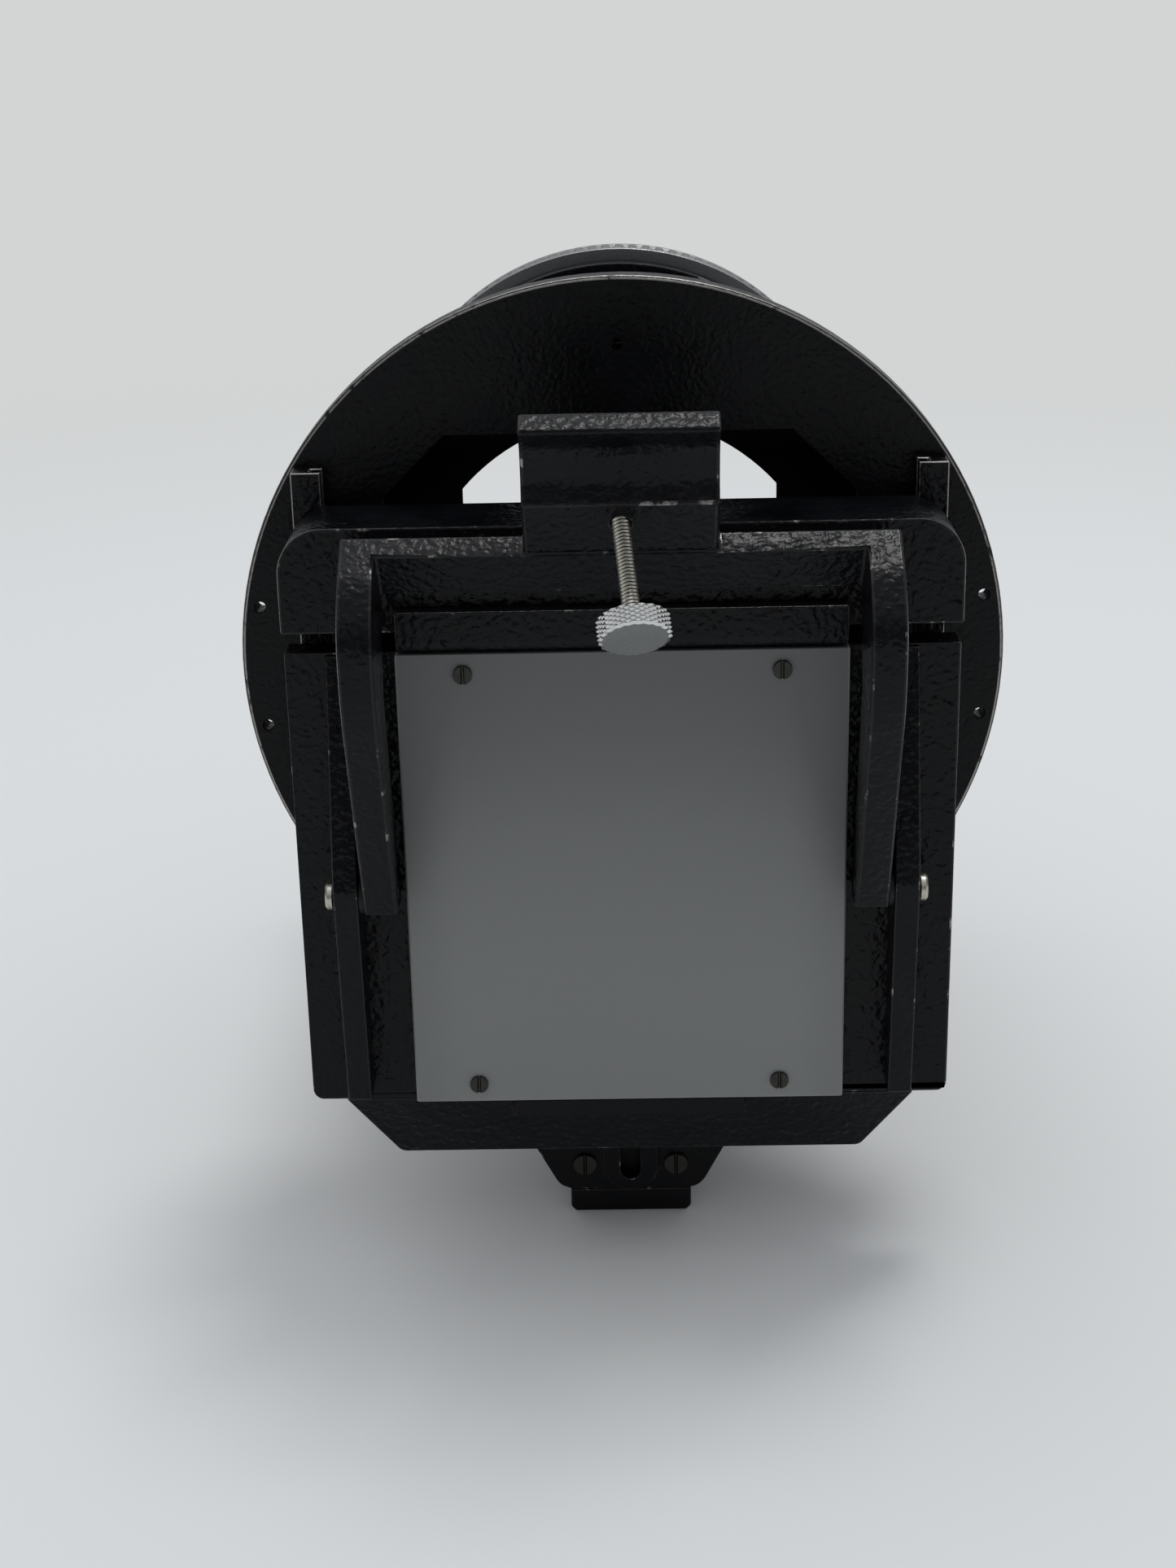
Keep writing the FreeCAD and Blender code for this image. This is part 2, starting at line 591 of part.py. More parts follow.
keep("slide_plate", slide_plate())
keep("stage_box", stage_box())
keep("stage_plate", stage_plate())
keep("film_glass", film_glass())
keep("top_block", top_block())
keep("gate_bar", gate_bar())
for side in ("left", "right"):
    keep("cheek_" + side, cheek(side))
keep("pivot_screws", pivot_screws())
keep("pivot_washers", pivot_washers())
keep("apron", apron())
keep("name_plate", name_plate())
keep("diffuser_frame", diffuser_frame())
keep("opal_diffuser", opal_diffuser())
keep("opal_screws", cheese_screws("opal_screws", list(opal_spots()), "opal_front", "-Y", "screw_head_radius",
                                  "screw_head_height", "screw_radius", "opal_thickness"))

# --- yoke and clamp screw -------------------------------------------------------------------------

def screw_frame(along):
    """The clamp screw's placement, with +Z outwards along the screw, at a distance from its root."""
    droop = math.radians(number("screw_droop"))
    yaw = math.radians(number("screw_yaw"))
    outward = Vector(math.sin(yaw), -math.cos(yaw) * math.cos(droop), -math.cos(yaw) * math.sin(droop))
    root = Vector(number("tab_centre"), number(stage_y("cross_front_forward + screw_step")),
                  number(stage_z("cross_front_level + screw_rise")))
    return FreeCAD.Placement(root + outward * along, FreeCAD.Rotation(Vector(0, 0, 1), outward))


def screw_rod(name, radius, length, along):
    item = doc.addObject("Part::Cylinder", name)
    bind(item, "Radius", radius)
    bind(item, "Height", length)
    item.Placement = screw_frame(number(along))
    return item


def yoke():
    arm = [
        (stage_y("pivot_forward + arm_foot_forward"), stage_z("pivot_level - arm_foot_drop")),
        (stage_y("arm_bend_forward"), stage_z("arm_bend_level")),
        (stage_y("arm_crown_forward"), stage_z("arm_crown_level")),
        (stage_y("arm_crest_forward"), stage_z("arm_crest_level")),
        (stage_y("yoke_top_forward"), stage_z("yoke_top_level")),
        (stage_y("cross_back_forward"), stage_z("cross_back_level")),
        (stage_y("arm_back_forward"), stage_z("arm_back_level")),
        (stage_y("pivot_forward - arm_heel_back"), stage_z("pivot_level - arm_heel_drop")),
    ]
    bends = [("arm_bend_round", [arm[1]]), ("crown_round", [arm[2], arm[3]])]
    cross = [
        (stage_y("cross_front_forward"), stage_z("cross_front_level")),
        (stage_y("cross_edge_forward"), stage_z("cross_edge_level")),
        (stage_y("yoke_top_forward"), stage_z("yoke_top_level")),
        (stage_y("cross_back_forward"), stage_z("cross_back_level")),
    ]
    tab = [
        (stage_y("cross_front_forward"), stage_z("cross_front_level")),
        (stage_y("fold_forward"), stage_z("fold_level")),
        (stage_y("scoop_low_forward"), stage_z("scoop_low_level")),
        (stage_y("scoop_high_forward"), stage_z("scoop_high_level")),
        (stage_y("lip_forward"), stage_z("lip_level")),
        (stage_y("lip_back_forward"), stage_z("lip_back_level")),
        (stage_y("fold_forward - tab_thickness"), stage_z("fold_level + fold_back_rise")),
        (stage_y("cross_front_forward - tab_foot_back"), stage_z("cross_front_level + tab_foot_rise")),
    ]
    softened = [("scoop_round", [tab[2], tab[3]]), ("lip_round", [tab[4]]), ("tab_round", [tab[5]])]
    pieces = [
        prism("arm_left", "side", [arm], "-arm_outer", "arm_width", rounds=bends),
        prism("arm_right", "side", [arm], "arm_inner", "arm_width", rounds=bends),
        prism("crosspiece", "side", [cross], "-arm_outer", "2 * arm_outer"),
        prism("tab", "side", [tab], "tab_centre - tab_half_width", "2 * tab_half_width", rounds=softened),
    ]
    tools = [
        rod("yoke_pivot_hole", "pivot_radius + running_clearance", "2 * arm_outer + 2 * overshoot",
            ("-arm_outer - overshoot", stage_y("pivot_forward"), stage_z("pivot_level")), "X"),
        screw_rod("yoke_screw_hole", "shank_radius + thread_clearance", "2 * screw_hole_reach",
                  "-screw_hole_reach"),
    ]
    return cut("yoke_casting", joined("yoke_blank", pieces), tools)


def thumbscrew_shank():
    length = "shank_tail + shank_reach + knob_bore_depth"
    return screw_rod("clamp_shank", "shank_radius", length, "-shank_tail")


def thumbscrew_knob():
    blank = screw_rod("knob_blank", "knob_radius", "knob_height", "shank_reach")
    edge = doc.addObject("Part::Chamfer", "knob_chamfer")
    edge.Base = blank
    doc.recompute()
    size = number("knob_edge")
    rims = [index for index, item in enumerate(blank.Shape.Edges, start=1) if hasattr(item.Curve, "Radius")]
    edge.Edges = [(index, size, size) for index in rims]
    bore = screw_rod("knob_bore", "shank_radius + thread_clearance", "knob_bore_depth", "shank_reach")
    return cut("knob_solid", edge, [bore])


keep("yoke", yoke())
keep("clamp_screw_shank", thumbscrew_shank())
keep("clamp_screw_knob", thumbscrew_knob())

# --- foot and rail --------------------------------------------------------------------------------

RAIL_OUTLINE = [
    ("-rail_half_bottom", "foot_height"), ("rail_half_bottom", "foot_height"),
    ("rail_half_top", "rail_top"), ("-rail_half_top", "rail_top"),
]


def foot_block():
    outline = [
        ("-foot_width / 2 + foot_chamfer", "0"), ("foot_width / 2 - foot_chamfer", "0"),
        ("foot_width / 2", "foot_chamfer"), ("foot_width / 2", "foot_height"),
        ("-foot_width / 2", "foot_height"), ("-foot_width / 2", "foot_chamfer"),
    ]
    block = prism("foot_bar", "front", [outline], "foot_length / 2", "foot_length")
    pocket = rod("bush_pocket", "bush_radius", "foot_height", ("0", "bush_y", "0"), "Z")
    return cut("foot_solid", block, [pocket])


def rail():
    side, floor = "rail_slot_width / 2", "rail_top - rail_slot_depth"
    outline = [
        ("-" + side, floor), (side, floor), (side, "rail_top"), ("rail_half_top", "rail_top"),
        ("rail_half_bottom", "foot_height"), ("-rail_half_bottom", "foot_height"),
        ("-rail_half_top", "rail_top"), ("-" + side, "rail_top"),
    ]
    bar = prism("rail_bar", "front", [outline], "rail_back", "rail_length")
    holes = bolt_rods("rail_bolt_hole", "bolt_radius", "bolt_length", "rail_top", "-Z")
    return cut("rail_solid", bar, holes)


def bolt_rods(name, radius, length, level, axis):
    """Rods at the front standard's two foot bolts."""
    rods = []
    for side in ("-", ""):
        place = (side + "(post_half_width - bolt_side)",
                 "standard_front + post_foot_length - bolt_end", level)
        rods.append(rod("%s_%d" % (name, len(rods)), radius, length, place, axis))
    return rods


def end_plate(name, back, boss):
    lower = RAIL_OUTLINE[:2]
    body = prism(name + "_plate", "front", [RAIL_OUTLINE], back, "end_thickness",
                 rounds=[("end_round", lower)])
    holes = [rod("%s_hole_%d" % (name, index), "screw_radius", "end_thickness",
                 (x, "(%s) - end_thickness" % back, z)) for index, (x, z) in enumerate(end_spots())]
    if not boss:
        return cut(name + "_solid", body, holes)
    front = "(%s) - end_thickness - boss_height" % back
    raised = [
        rod("boss_round", "boss_radius", "boss_height", ("0", front, "boss_level + boss_rise")),
        box("boss_upper", ("-boss_radius", front, "boss_level + boss_rise"),
            ("boss_radius", front + " + boss_height", "rail_top")),
    ]
    slot = [
        rod("slot_round", "slot_radius", "end_thickness + boss_height", ("0", front, "boss_level")),
        box("slot_upper", ("-slot_radius", front, "boss_level"),
            ("slot_radius", back, "rail_top - slot_drop")),
    ]
    blank = joined(name + "_boss", [body] + raised)
    return cut(name + "_solid", blank, [joined(name + "_slot", slot)] + holes)


def end_spots():
    level = "foot_height + end_screw_rise"
    return [("-end_screw_x", level), ("end_screw_x", level)]


keep("foot_block", foot_block())
keep("tripod_bush", tube("tripod_bush_body", "bush_radius", "bush_bore_radius", "foot_height",
                         ("0", "bush_y", "0"), "Z"))
keep("rail", rail())
keep("end_plate_front", end_plate("end_front", "rail_front", True))
keep("end_plate_rear", end_plate("end_rear", "rail_back + end_thickness", False))
END_FACES = {"front": ("rail_front - end_thickness", "-Y"), "rear": ("rail_back + end_thickness", "Y")}
for end, (face, axis) in END_FACES.items():
    keep("end_screws_" + end, cheese_screws(
        "end_screws_" + end, end_spots(), face, axis, "end_screw_radius", "end_screw_height",
        "screw_radius", "end_thickness"))

# --- front standard, drum and baffle ----------------------------------------------------------------

def lock_rod(name, radius, length, start):
    """A rod along the disc lock's radial line in the front standard."""
    item = doc.addObject("Part::Cylinder", name)
    bind(item, "Radius", radius)
    bind(item, "Height", length)
    angle = math.radians(number("lock_angle"))
    outward = Vector(math.cos(angle), 0, -math.sin(angle))
    centre = Vector(0, number("standard_front + standard_thickness / 2"), number("axis_height"))
    turn = FreeCAD.Rotation(Vector(0, 0, 1), outward)
    item.Placement = FreeCAD.Placement(centre + outward * number(start), turn)
    return item


def front_standard():
    pieces = [
        rod("standard_ring", "standard_radius", "standard_thickness",
            ("0", "standard_front", "axis_height")),
        box("standard_post", ("-post_half_width", "standard_front", "rail_top"),
            ("post_half_width", "standard_back", "axis_height - hub_radius - post_cover")),
        box("standard_foot", ("-post_half_width", "standard_front", "rail_top"),
            ("post_half_width", "standard_front + post_foot_length", "rail_top + post_foot_height")),
    ]
    tools = [
        rod("standard_bore", "hub_radius + running_clearance", "standard_thickness",
            ("0", "standard_front", "axis_height")),
        lock_rod("standard_lock_hole", "lock_radius + thread_clearance", "standard_radius",
                 "hub_radius - overshoot"),
    ]
    tools += bolt_rods("standard_bolt_hole", "bolt_radius", "post_foot_height", "rail_top", "Z")
    return cut("standard_casting", joined("standard_blank", pieces), tools)


def standard_bolts():
    level = "rail_top + post_foot_height"
    heads = bolt_rods("bolt_head", "bolt_head_radius", "bolt_head_height", level, "Z")
    shanks = bolt_rods("bolt_shank", "bolt_radius", "bolt_length + post_foot_height", level, "-Z")
    return group("standard_bolts_group", [
        joined("standard_bolt_%d" % index, list(pair)) for index, pair in enumerate(zip(heads, shanks))])


def baffle_plate():
    centre = ("0", "baffle_front", "axis_height")
    plate = rod("baffle_blank", "standard_radius", "baffle_thickness", centre)
    circle = rod("baffle_circle", "baffle_opening_radius", "baffle_thickness", centre)
    half, reach = "baffle_opening_half", "baffle_opening_radius"
    flats = box("baffle_flats", ("-" + half, "baffle_front", "axis_height - " + reach),
                (half, "baffle_back", "axis_height + " + reach))
    opening = doc.addObject("Part::MultiCommon", "baffle_opening")
    opening.Shapes = [circle, flats]
    return cut("baffle_solid", plate, [opening])


keep("front_standard", front_standard())
keep("standard_bolts", standard_bolts())
keep("standard_drum", tube("drum_body", "standard_radius", "drum_bore_radius", "drum_length",
                           ("0", "standard_back", "axis_height")))
keep("baffle_plate", baffle_plate())
keep("bellows_front_frame", tube("bellows_front_body", "bellows_frame_radius", "bellows_bore_radius",
                                 "bellows_frame", ("0", "baffle_back", "axis_height")))
keep("bellows", tube("bellows_body", "bellows_radius", "bellows_bore_radius",
                     "lens_front - baffle_back - 2 * bellows_frame",
                     ("0", "baffle_back + bellows_frame", "axis_height")))

# --- lens end -------------------------------------------------------------------------------------

def saddle():
    """The carriage that hugs the dovetail rail; its flanks follow the rail's at a small gap."""
    foot, roof = "rail_top - saddle_foot", "rail_top + rail_clearance"
    inner_top = "rail_half_top + 2 * rail_clearance"
    inner_foot = "rail_half_top + 2 * rail_clearance - saddle_foot * rail_lean"
    outline = [
        ("-saddle_half_width", "saddle_top"), ("-saddle_half_width", foot),
        ("-(%s)" % inner_foot, foot), ("-(%s)" % inner_top, roof),
        (inner_top, roof), (inner_foot, foot),
        ("saddle_half_width", foot), ("saddle_half_width", "saddle_top"),
    ]
    body = prism("saddle_body", "front", [outline], "saddle_back", "saddle_length")
    hole = rod("saddle_lock_hole", "lock_radius + thread_clearance", "saddle_half_width",
               ("rail_half_bottom", "saddle_middle", "lock_level"), "X")
    return cut("saddle_solid", body, [hole])


def rear_standard():
    """The ring behind the bellows, with a flat underneath where its post carries it."""
    ring = tube("rear_ring", "rear_radius", "rear_bore_radius", "rear_thickness",
                ("0", "lens_front", "axis_height"))
    flat = box("rear_flat", ("-rear_radius", "lens_front", "axis_height - rear_radius - overshoot"),
               ("rear_radius", "lens_front + rear_thickness", "rear_seat"))
    return cut("rear_standard_solid", ring, [flat])


def rear_post():
    return box("rear_post_solid", ("-post_half_width", "lens_front", "saddle_top"),
               ("post_half_width", "lens_front + rear_thickness", "rear_seat"))


keep("carriage_saddle", saddle())
keep("rear_standard", rear_standard())
keep("rear_post", rear_post())
keep("lens_ring", tube("lens_ring_body", "ring_radius", "rear_bore_radius", "ring_thickness",
                       ("0", "lens_front + rear_thickness", "axis_height")))
keep("bellows_rear_frame", tube("bellows_rear_body", "bellows_frame_radius", "bellows_bore_radius",
                                "bellows_frame", ("0", "lens_front - bellows_frame", "axis_height")))

# --- lock screws ----------------------------------------------------------------------------------

def disc_lock():
    tip, head = "hub_radius + lock_seat", "max(disc_diameter / 2; standard_radius) + lock_knob_gap"
    shank = lock_rod("disc_lock_shank", "lock_radius", "(%s) - (%s)" % (head, tip), tip)
    knob = lock_rod("disc_lock_head", "lock_knob_radius", "lock_knob_height", head)
    return joined("disc_lock_solid", [shank, knob])


def carriage_lock():
    tip = "rail_half_top - (lock_drop - lock_radius) * rail_lean + rail_clearance"
    shank = rod("carriage_lock_shank", "lock_radius", "saddle_half_width + lock_seat - (%s)" % tip,
                (tip, "saddle_middle", "lock_level"), "X")
    knob = rod("carriage_lock_head", "carriage_knob_radius", "lock_knob_height",
               ("saddle_half_width + lock_seat", "saddle_middle", "lock_level"), "X")
    return joined("carriage_lock_solid", [shank, knob])


keep("disc_lock_screw", disc_lock())
keep("carriage_lock_screw", carriage_lock())

# --- check and write --------------------------------------------------------------------------------

doc.recompute()
faults = [item.Name for item in doc.Objects if {"Invalid", "Error"} & set(item.State)]
for item in nodes:
    if item.Shape.isNull() or not item.Shape.isValid() or not item.Shape.Solids:
        faults.append(item.Label)
if faults:
    raise SystemExit("faulty objects: " + ", ".join(faults))
os.makedirs("parts", exist_ok=True)
for item in nodes:
    item.Shape.exportStep("parts/%s.step" % item.Label)
print("wrote %d parts" % len(nodes))
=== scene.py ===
# %% [markdown]
# A film and slide copying carrier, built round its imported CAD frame. The frame holds every size
# and joint. This file gives each piece its look: softened castings, hammertone enamel, a knurled
# clamp screw, a pleated bellows and an opal diffuser. Everything is in metres.

# %% Load the frame
import bpy
import json
import math
from mathutils import Matrix, Vector


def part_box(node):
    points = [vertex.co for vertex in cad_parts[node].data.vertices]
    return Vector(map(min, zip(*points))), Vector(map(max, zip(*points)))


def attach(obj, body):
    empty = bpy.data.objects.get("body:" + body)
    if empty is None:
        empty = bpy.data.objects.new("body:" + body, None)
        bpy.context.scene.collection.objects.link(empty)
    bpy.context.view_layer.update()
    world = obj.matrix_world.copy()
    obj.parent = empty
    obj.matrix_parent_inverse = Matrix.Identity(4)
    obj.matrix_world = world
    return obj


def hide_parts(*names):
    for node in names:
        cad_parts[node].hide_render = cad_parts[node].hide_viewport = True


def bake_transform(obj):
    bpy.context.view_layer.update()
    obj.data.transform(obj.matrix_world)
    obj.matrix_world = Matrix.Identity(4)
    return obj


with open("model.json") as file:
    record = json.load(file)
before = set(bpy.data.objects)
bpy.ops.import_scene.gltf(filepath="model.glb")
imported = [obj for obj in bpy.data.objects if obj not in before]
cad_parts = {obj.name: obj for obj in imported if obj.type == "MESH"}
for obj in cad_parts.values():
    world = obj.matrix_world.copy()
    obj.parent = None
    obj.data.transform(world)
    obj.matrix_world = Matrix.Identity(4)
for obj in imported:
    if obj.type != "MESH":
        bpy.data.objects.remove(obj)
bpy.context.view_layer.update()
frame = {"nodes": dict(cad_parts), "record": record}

MM = 0.001
record = frame["record"]
nodes = frame["nodes"]
body_of = {node: body for body, members in record["behaviour"]["bodies"].items() for node in members}
joints = {joint["name"]: joint for joint in record["behaviour"]["joints"]}

# %% [markdown]
# The camera comes first. It stands a little above the object and looks down at it, so the flat
# disc reads as a slightly squashed circle. A camera's matrix is three directions side by side:
# its right, its up and the direction behind it. Writing them out keeps the small roll exact.

# %% Camera
CAMERA_PLACE = Vector((0.00025, -0.58354, 0.30391))
YAW, PITCH, ROLL = (math.radians(angle) for angle in (0.966, 20.124, 1.284))
SENSOR = 36.0
LENS = 54.0653866

forward = Vector((-math.sin(YAW) * math.cos(PITCH), math.cos(YAW) * math.cos(PITCH), -math.sin(PITCH)))
level = Vector((math.cos(YAW), math.sin(YAW), 0))
above = level.cross(forward)
right = level * math.cos(ROLL) - above * math.sin(ROLL)
upward = above * math.cos(ROLL) + level * math.sin(ROLL)
camera = bpy.data.objects.new("camera", bpy.data.cameras.new("camera"))
bpy.context.scene.collection.objects.link(camera)
camera.data.sensor_width = SENSOR
camera.data.lens = LENS
axes = Matrix((right, upward, -forward)).transposed()
camera.matrix_world = Matrix.Translation(CAMERA_PLACE) @ axes.to_4x4()
bpy.context.scene.camera = camera
print("lens in mm:", round(camera.data.lens, 2), "at", list(CAMERA_PLACE))

# %% [markdown]
# Two helpers serve every material. Colours are written as the hex values that a screen shows, and
# Blender wants linear light, so one function turns one into the other. The other adds a shader
# node, sets it up and links it, so that a material reads as a short list of steps. Two small
# ones open and close a material, and a last one makes a colour ramp.

# %% Colour and node helpers
def colour(code):
    """Turn a hex sRGB code into linear RGBA."""
    values = [int(code[i:i + 2], 16) / 255 for i in (0, 2, 4)]
    linear = [v / 12.92 if v <= 0.04045 else ((v + 0.055) / 1.055) ** 2.4 for v in values]
    return (*linear, 1.0)


def add(material, kind, settings=None, inputs=None):
    """Add one shader node. An input is a plain value or another node's output socket."""
    item = material.node_tree.nodes.new("ShaderNode" + kind)
    for name, value in (settings or {}).items():
        setattr(item, name, value)
    for name, value in (inputs or {}).items():
        if isinstance(value, bpy.types.NodeSocket):
            material.node_tree.links.new(value, item.inputs[name])
        else:
            item.inputs[name].default_value = value
    return item


def new_material(name):
    material = bpy.data.materials.new(name)
    material.use_nodes = True
    material.node_tree.nodes.clear()
    return material


def finish_material(material, shader):
    output = add(material, "OutputMaterial")
    material.node_tree.links.new(shader, output.inputs["Surface"])
    return material


def ramp(material, factor, stops):
    """A colour ramp whose stops are (position, hex) pairs."""
    item = add(material, "ValToRGB", inputs={"Fac": factor})
    elements = item.color_ramp.elements
    while len(elements) < len(stops):
        elements.new(0.5)
    for element, (place, code) in zip(elements, stops):
        element.position = place
        element.color = colour(code)
    return item.outputs["Color"]


print("middle grey in linear light:", round(colour("808080")[0], 3))

# %% [markdown]
# Hammertone enamel is a glossy stoved paint with silicone in it, which draws the wet film into
# small pebbles. The eye sees it less by its colour, a near black, than by how the pebbles break
# up a reflection. So the work is in the bump: cells about 1.5 mm across with rounded tops, bent
# by a wide noise so that they never line up. Edges that hands touch lose their paint first, so
# the bevelled edges get a twin material that shows patches of the bare metal.

# %% Hammertone enamel
PEBBLE = 1.5 * MM
PEBBLE_DEPTH = 0.32 * MM
DUST_PATCH = 14 * MM
WORN_PATCH = 5 * MM


def pebble_bump(material, pebble, depth):
    """Rounded cells bent by noise, as height for a bump."""
    place = add(material, "TexCoord").outputs["Object"]
    bend = add(material, "TexNoise", inputs={"Vector": place, "Scale": 0.35 / pebble, "Detail": 1.0})
    shift = add(material, "VectorMath", {"operation": "SCALE"},
                {0: bend.outputs["Color"], "Scale": 1.6 * pebble})
    moved = add(material, "VectorMath", {"operation": "ADD"}, {0: place, 1: shift.outputs["Vector"]})
    cells = add(material, "TexVoronoi", {"feature": "SMOOTH_F1"},
                {"Vector": moved.outputs["Vector"], "Scale": 1.0 / pebble, "Smoothness": 0.75})
    blobs = add(material, "TexNoise", inputs={"Vector": moved.outputs["Vector"], "Scale": 0.9 / pebble,
                                              "Detail": 2.0, "Roughness": 0.45})
    height = add(material, "Math", {"operation": "MULTIPLY_ADD"},
                 {0: cells.outputs["Distance"], 1: -0.7, 2: blobs.outputs["Fac"]})
    return add(material, "Bump", inputs={"Height": height.outputs["Value"], "Strength": 1.0,
                                         "Distance": depth}).outputs["Normal"]


def enamel(name, pebble, depth, code="050609", roughness=0.2):
    """Glossy black paint with pebbles, a little greyer and duller where dust lies."""
    material = new_material(name)
    place = add(material, "TexCoord").outputs["Object"]
    dust = add(material, "TexNoise", inputs={"Vector": place, "Scale": 1 / DUST_PATCH, "Detail": 4.0})
    tone = ramp(material, dust.outputs["Fac"], [(0.35, code), (0.75, "0d0e12")])
    shine = add(material, "MapRange", inputs={"Value": dust.outputs["Fac"], "From Min": 0.3, "From Max": 0.8,
                                              "To Min": roughness, "To Max": roughness + 0.14})
    shader = add(material, "BsdfPrincipled", inputs={
        "Base Color": tone, "Roughness": shine.outputs["Result"], "IOR": 1.5, "Specular IOR Level": 0.17,
        "Normal": pebble_bump(material, pebble, depth)})
    return finish_material(material, shader.outputs["BSDF"])


def worn_edge(name, pebble, depth, worn=0.5):
    """Enamel that gives way to bare metal in patches."""
    material = new_material(name)
    place = add(material, "TexCoord").outputs["Object"]
    patches = add(material, "TexNoise", inputs={"Vector": place, "Scale": 1 / WORN_PATCH, "Detail": 5.0,
                                                "Roughness": 0.65})
    mask = add(material, "MapRange", inputs={"Value": patches.outputs["Fac"], "From Min": worn,
                                             "From Max": worn + 0.08})
    normal = pebble_bump(material, pebble, depth * 0.5)
    paint = add(material, "BsdfPrincipled", inputs={
        "Base Color": colour("161618"), "Roughness": 0.26, "IOR": 1.5, "Specular IOR Level": 0.26,
        "Normal": normal})
    metal = add(material, "BsdfPrincipled", inputs={
        "Base Color": colour("8f8e8b"), "Metallic": 1.0, "Roughness": 0.42, "Normal": normal})
    blend = add(material, "MixShader", inputs={
        0: mask.outputs["Result"], 1: paint.outputs["BSDF"], 2: metal.outputs["BSDF"]})
    return finish_material(material, blend.outputs["Shader"])


hammertone = enamel("hammertone_enamel", PEBBLE, PEBBLE_DEPTH)
hammertone_edge = worn_edge("worn_hammertone_edge", PEBBLE, PEBBLE_DEPTH, 0.6)
fine_hammertone = enamel("fine_hammertone_enamel", 1.2 * MM, 0.16 * MM, "030406", 0.3)
rim_edge = worn_edge("bare_rim_edge", PEBBLE, PEBBLE_DEPTH, 0.36)
satin_enamel = enamel("satin_black_enamel", 2.2 * MM, 0.12 * MM, "0e0e10", 0.36)
print("paints:", [material.name for material in bpy.data.materials])

# %% [markdown]
# The other finishes are quieter. Anodised aluminium inside the light path is dyed matt black.
# Nickel plate is a warm grey mirror dulled by fine scratches, and the knurled knobs are the same
# plate polished. The roots of a thread are painted dark as painted shade in its grooves, and
# slotted screws are blackened steel.
# The tripod bush is brass, which holds a cut thread well.

# %% Metals
def metal(name, code, roughness, grain, depth):
    """Plated or turned metal with fine marks of a given spacing."""
    material = new_material(name)
    place = add(material, "TexCoord").outputs["Object"]
    marks = add(material, "TexNoise", inputs={"Vector": place, "Scale": 1 / grain, "Detail": 3.0})
    shine = add(material, "MapRange", inputs={"Value": marks.outputs["Fac"], "From Min": 0.3, "From Max": 0.7,
                                              "To Min": roughness * 0.8, "To Max": roughness * 1.4})
    normal = add(material, "Bump", inputs={"Height": marks.outputs["Fac"], "Distance": depth})
    shader = add(material, "BsdfPrincipled", inputs={
        "Base Color": colour(code), "Metallic": 1.0, "Roughness": shine.outputs["Result"],
        "Normal": normal.outputs["Normal"]})
    return finish_material(material, shader.outputs["BSDF"])


def anodised(name, code, roughness):
    """Dyed anodising over a bead-blasted face: a dull, even black with a fine tooth."""
    material = new_material(name)
    place = add(material, "TexCoord").outputs["Object"]
    tooth = add(material, "TexNoise", inputs={"Vector": place, "Scale": 1 / (0.5 * MM), "Detail": 2.0})
    tone = ramp(material, tooth.outputs["Fac"], [(0.3, code), (0.7, "17171a")])
    normal = add(material, "Bump", inputs={"Height": tooth.outputs["Fac"], "Distance": 0.02 * MM})
    shader = add(material, "BsdfPrincipled", inputs={
        "Base Color": tone, "Roughness": roughness, "IOR": 1.45, "Normal": normal.outputs["Normal"]})
    return finish_material(material, shader.outputs["BSDF"])


nickel = metal("nickel_plate", "b9b6ac", 0.28, 0.7 * MM, 0.01 * MM)
polished_nickel = metal("polished_nickel", "d8d9d9", 0.14, 0.4 * MM, 0.004 * MM)
brass = metal("turned_brass", "b08d4a", 0.3, 0.5 * MM, 0.01 * MM)
turned_grey = metal("turned_aluminium", "8d8e8e", 0.42, 0.5 * MM, 0.02 * MM)
# Painted shade for the thread's roots: a dark metal that stands in for the shade in its grooves.
painted_root_shade = metal("thread_root_painted_shade", "1c1b1a", 0.45, 0.3 * MM, 0.01 * MM)
blackened = metal("blackened_steel", "3f3e3b", 0.4, 0.7 * MM, 0.02 * MM)
black_anodised = anodised("black_anodising", "0c0c0e", 0.62)
print("finishes so far:", len(bpy.data.materials))

# %% [markdown]
# The diffuser is a sheet of opal acrylic. Light enters it and scatters, so it looks like milk
# held in a flat sheet: evenly grey, with painted shade that darkens it towards the frame behind
# its edges and under the block's overhang, where less light gets in. A satin face keeps a soft sheen.
# The gradients read the sheet's own place, so they stay with it when it moves. Beside it stand
# the clear gate glass, the bellows cloth and the smooth lacquer of the blank front plate.

# %% Opal acrylic, glass and cloth
OPAL_SHADE_START = 20 * MM
opal_low, opal_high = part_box("opal_diffuser")


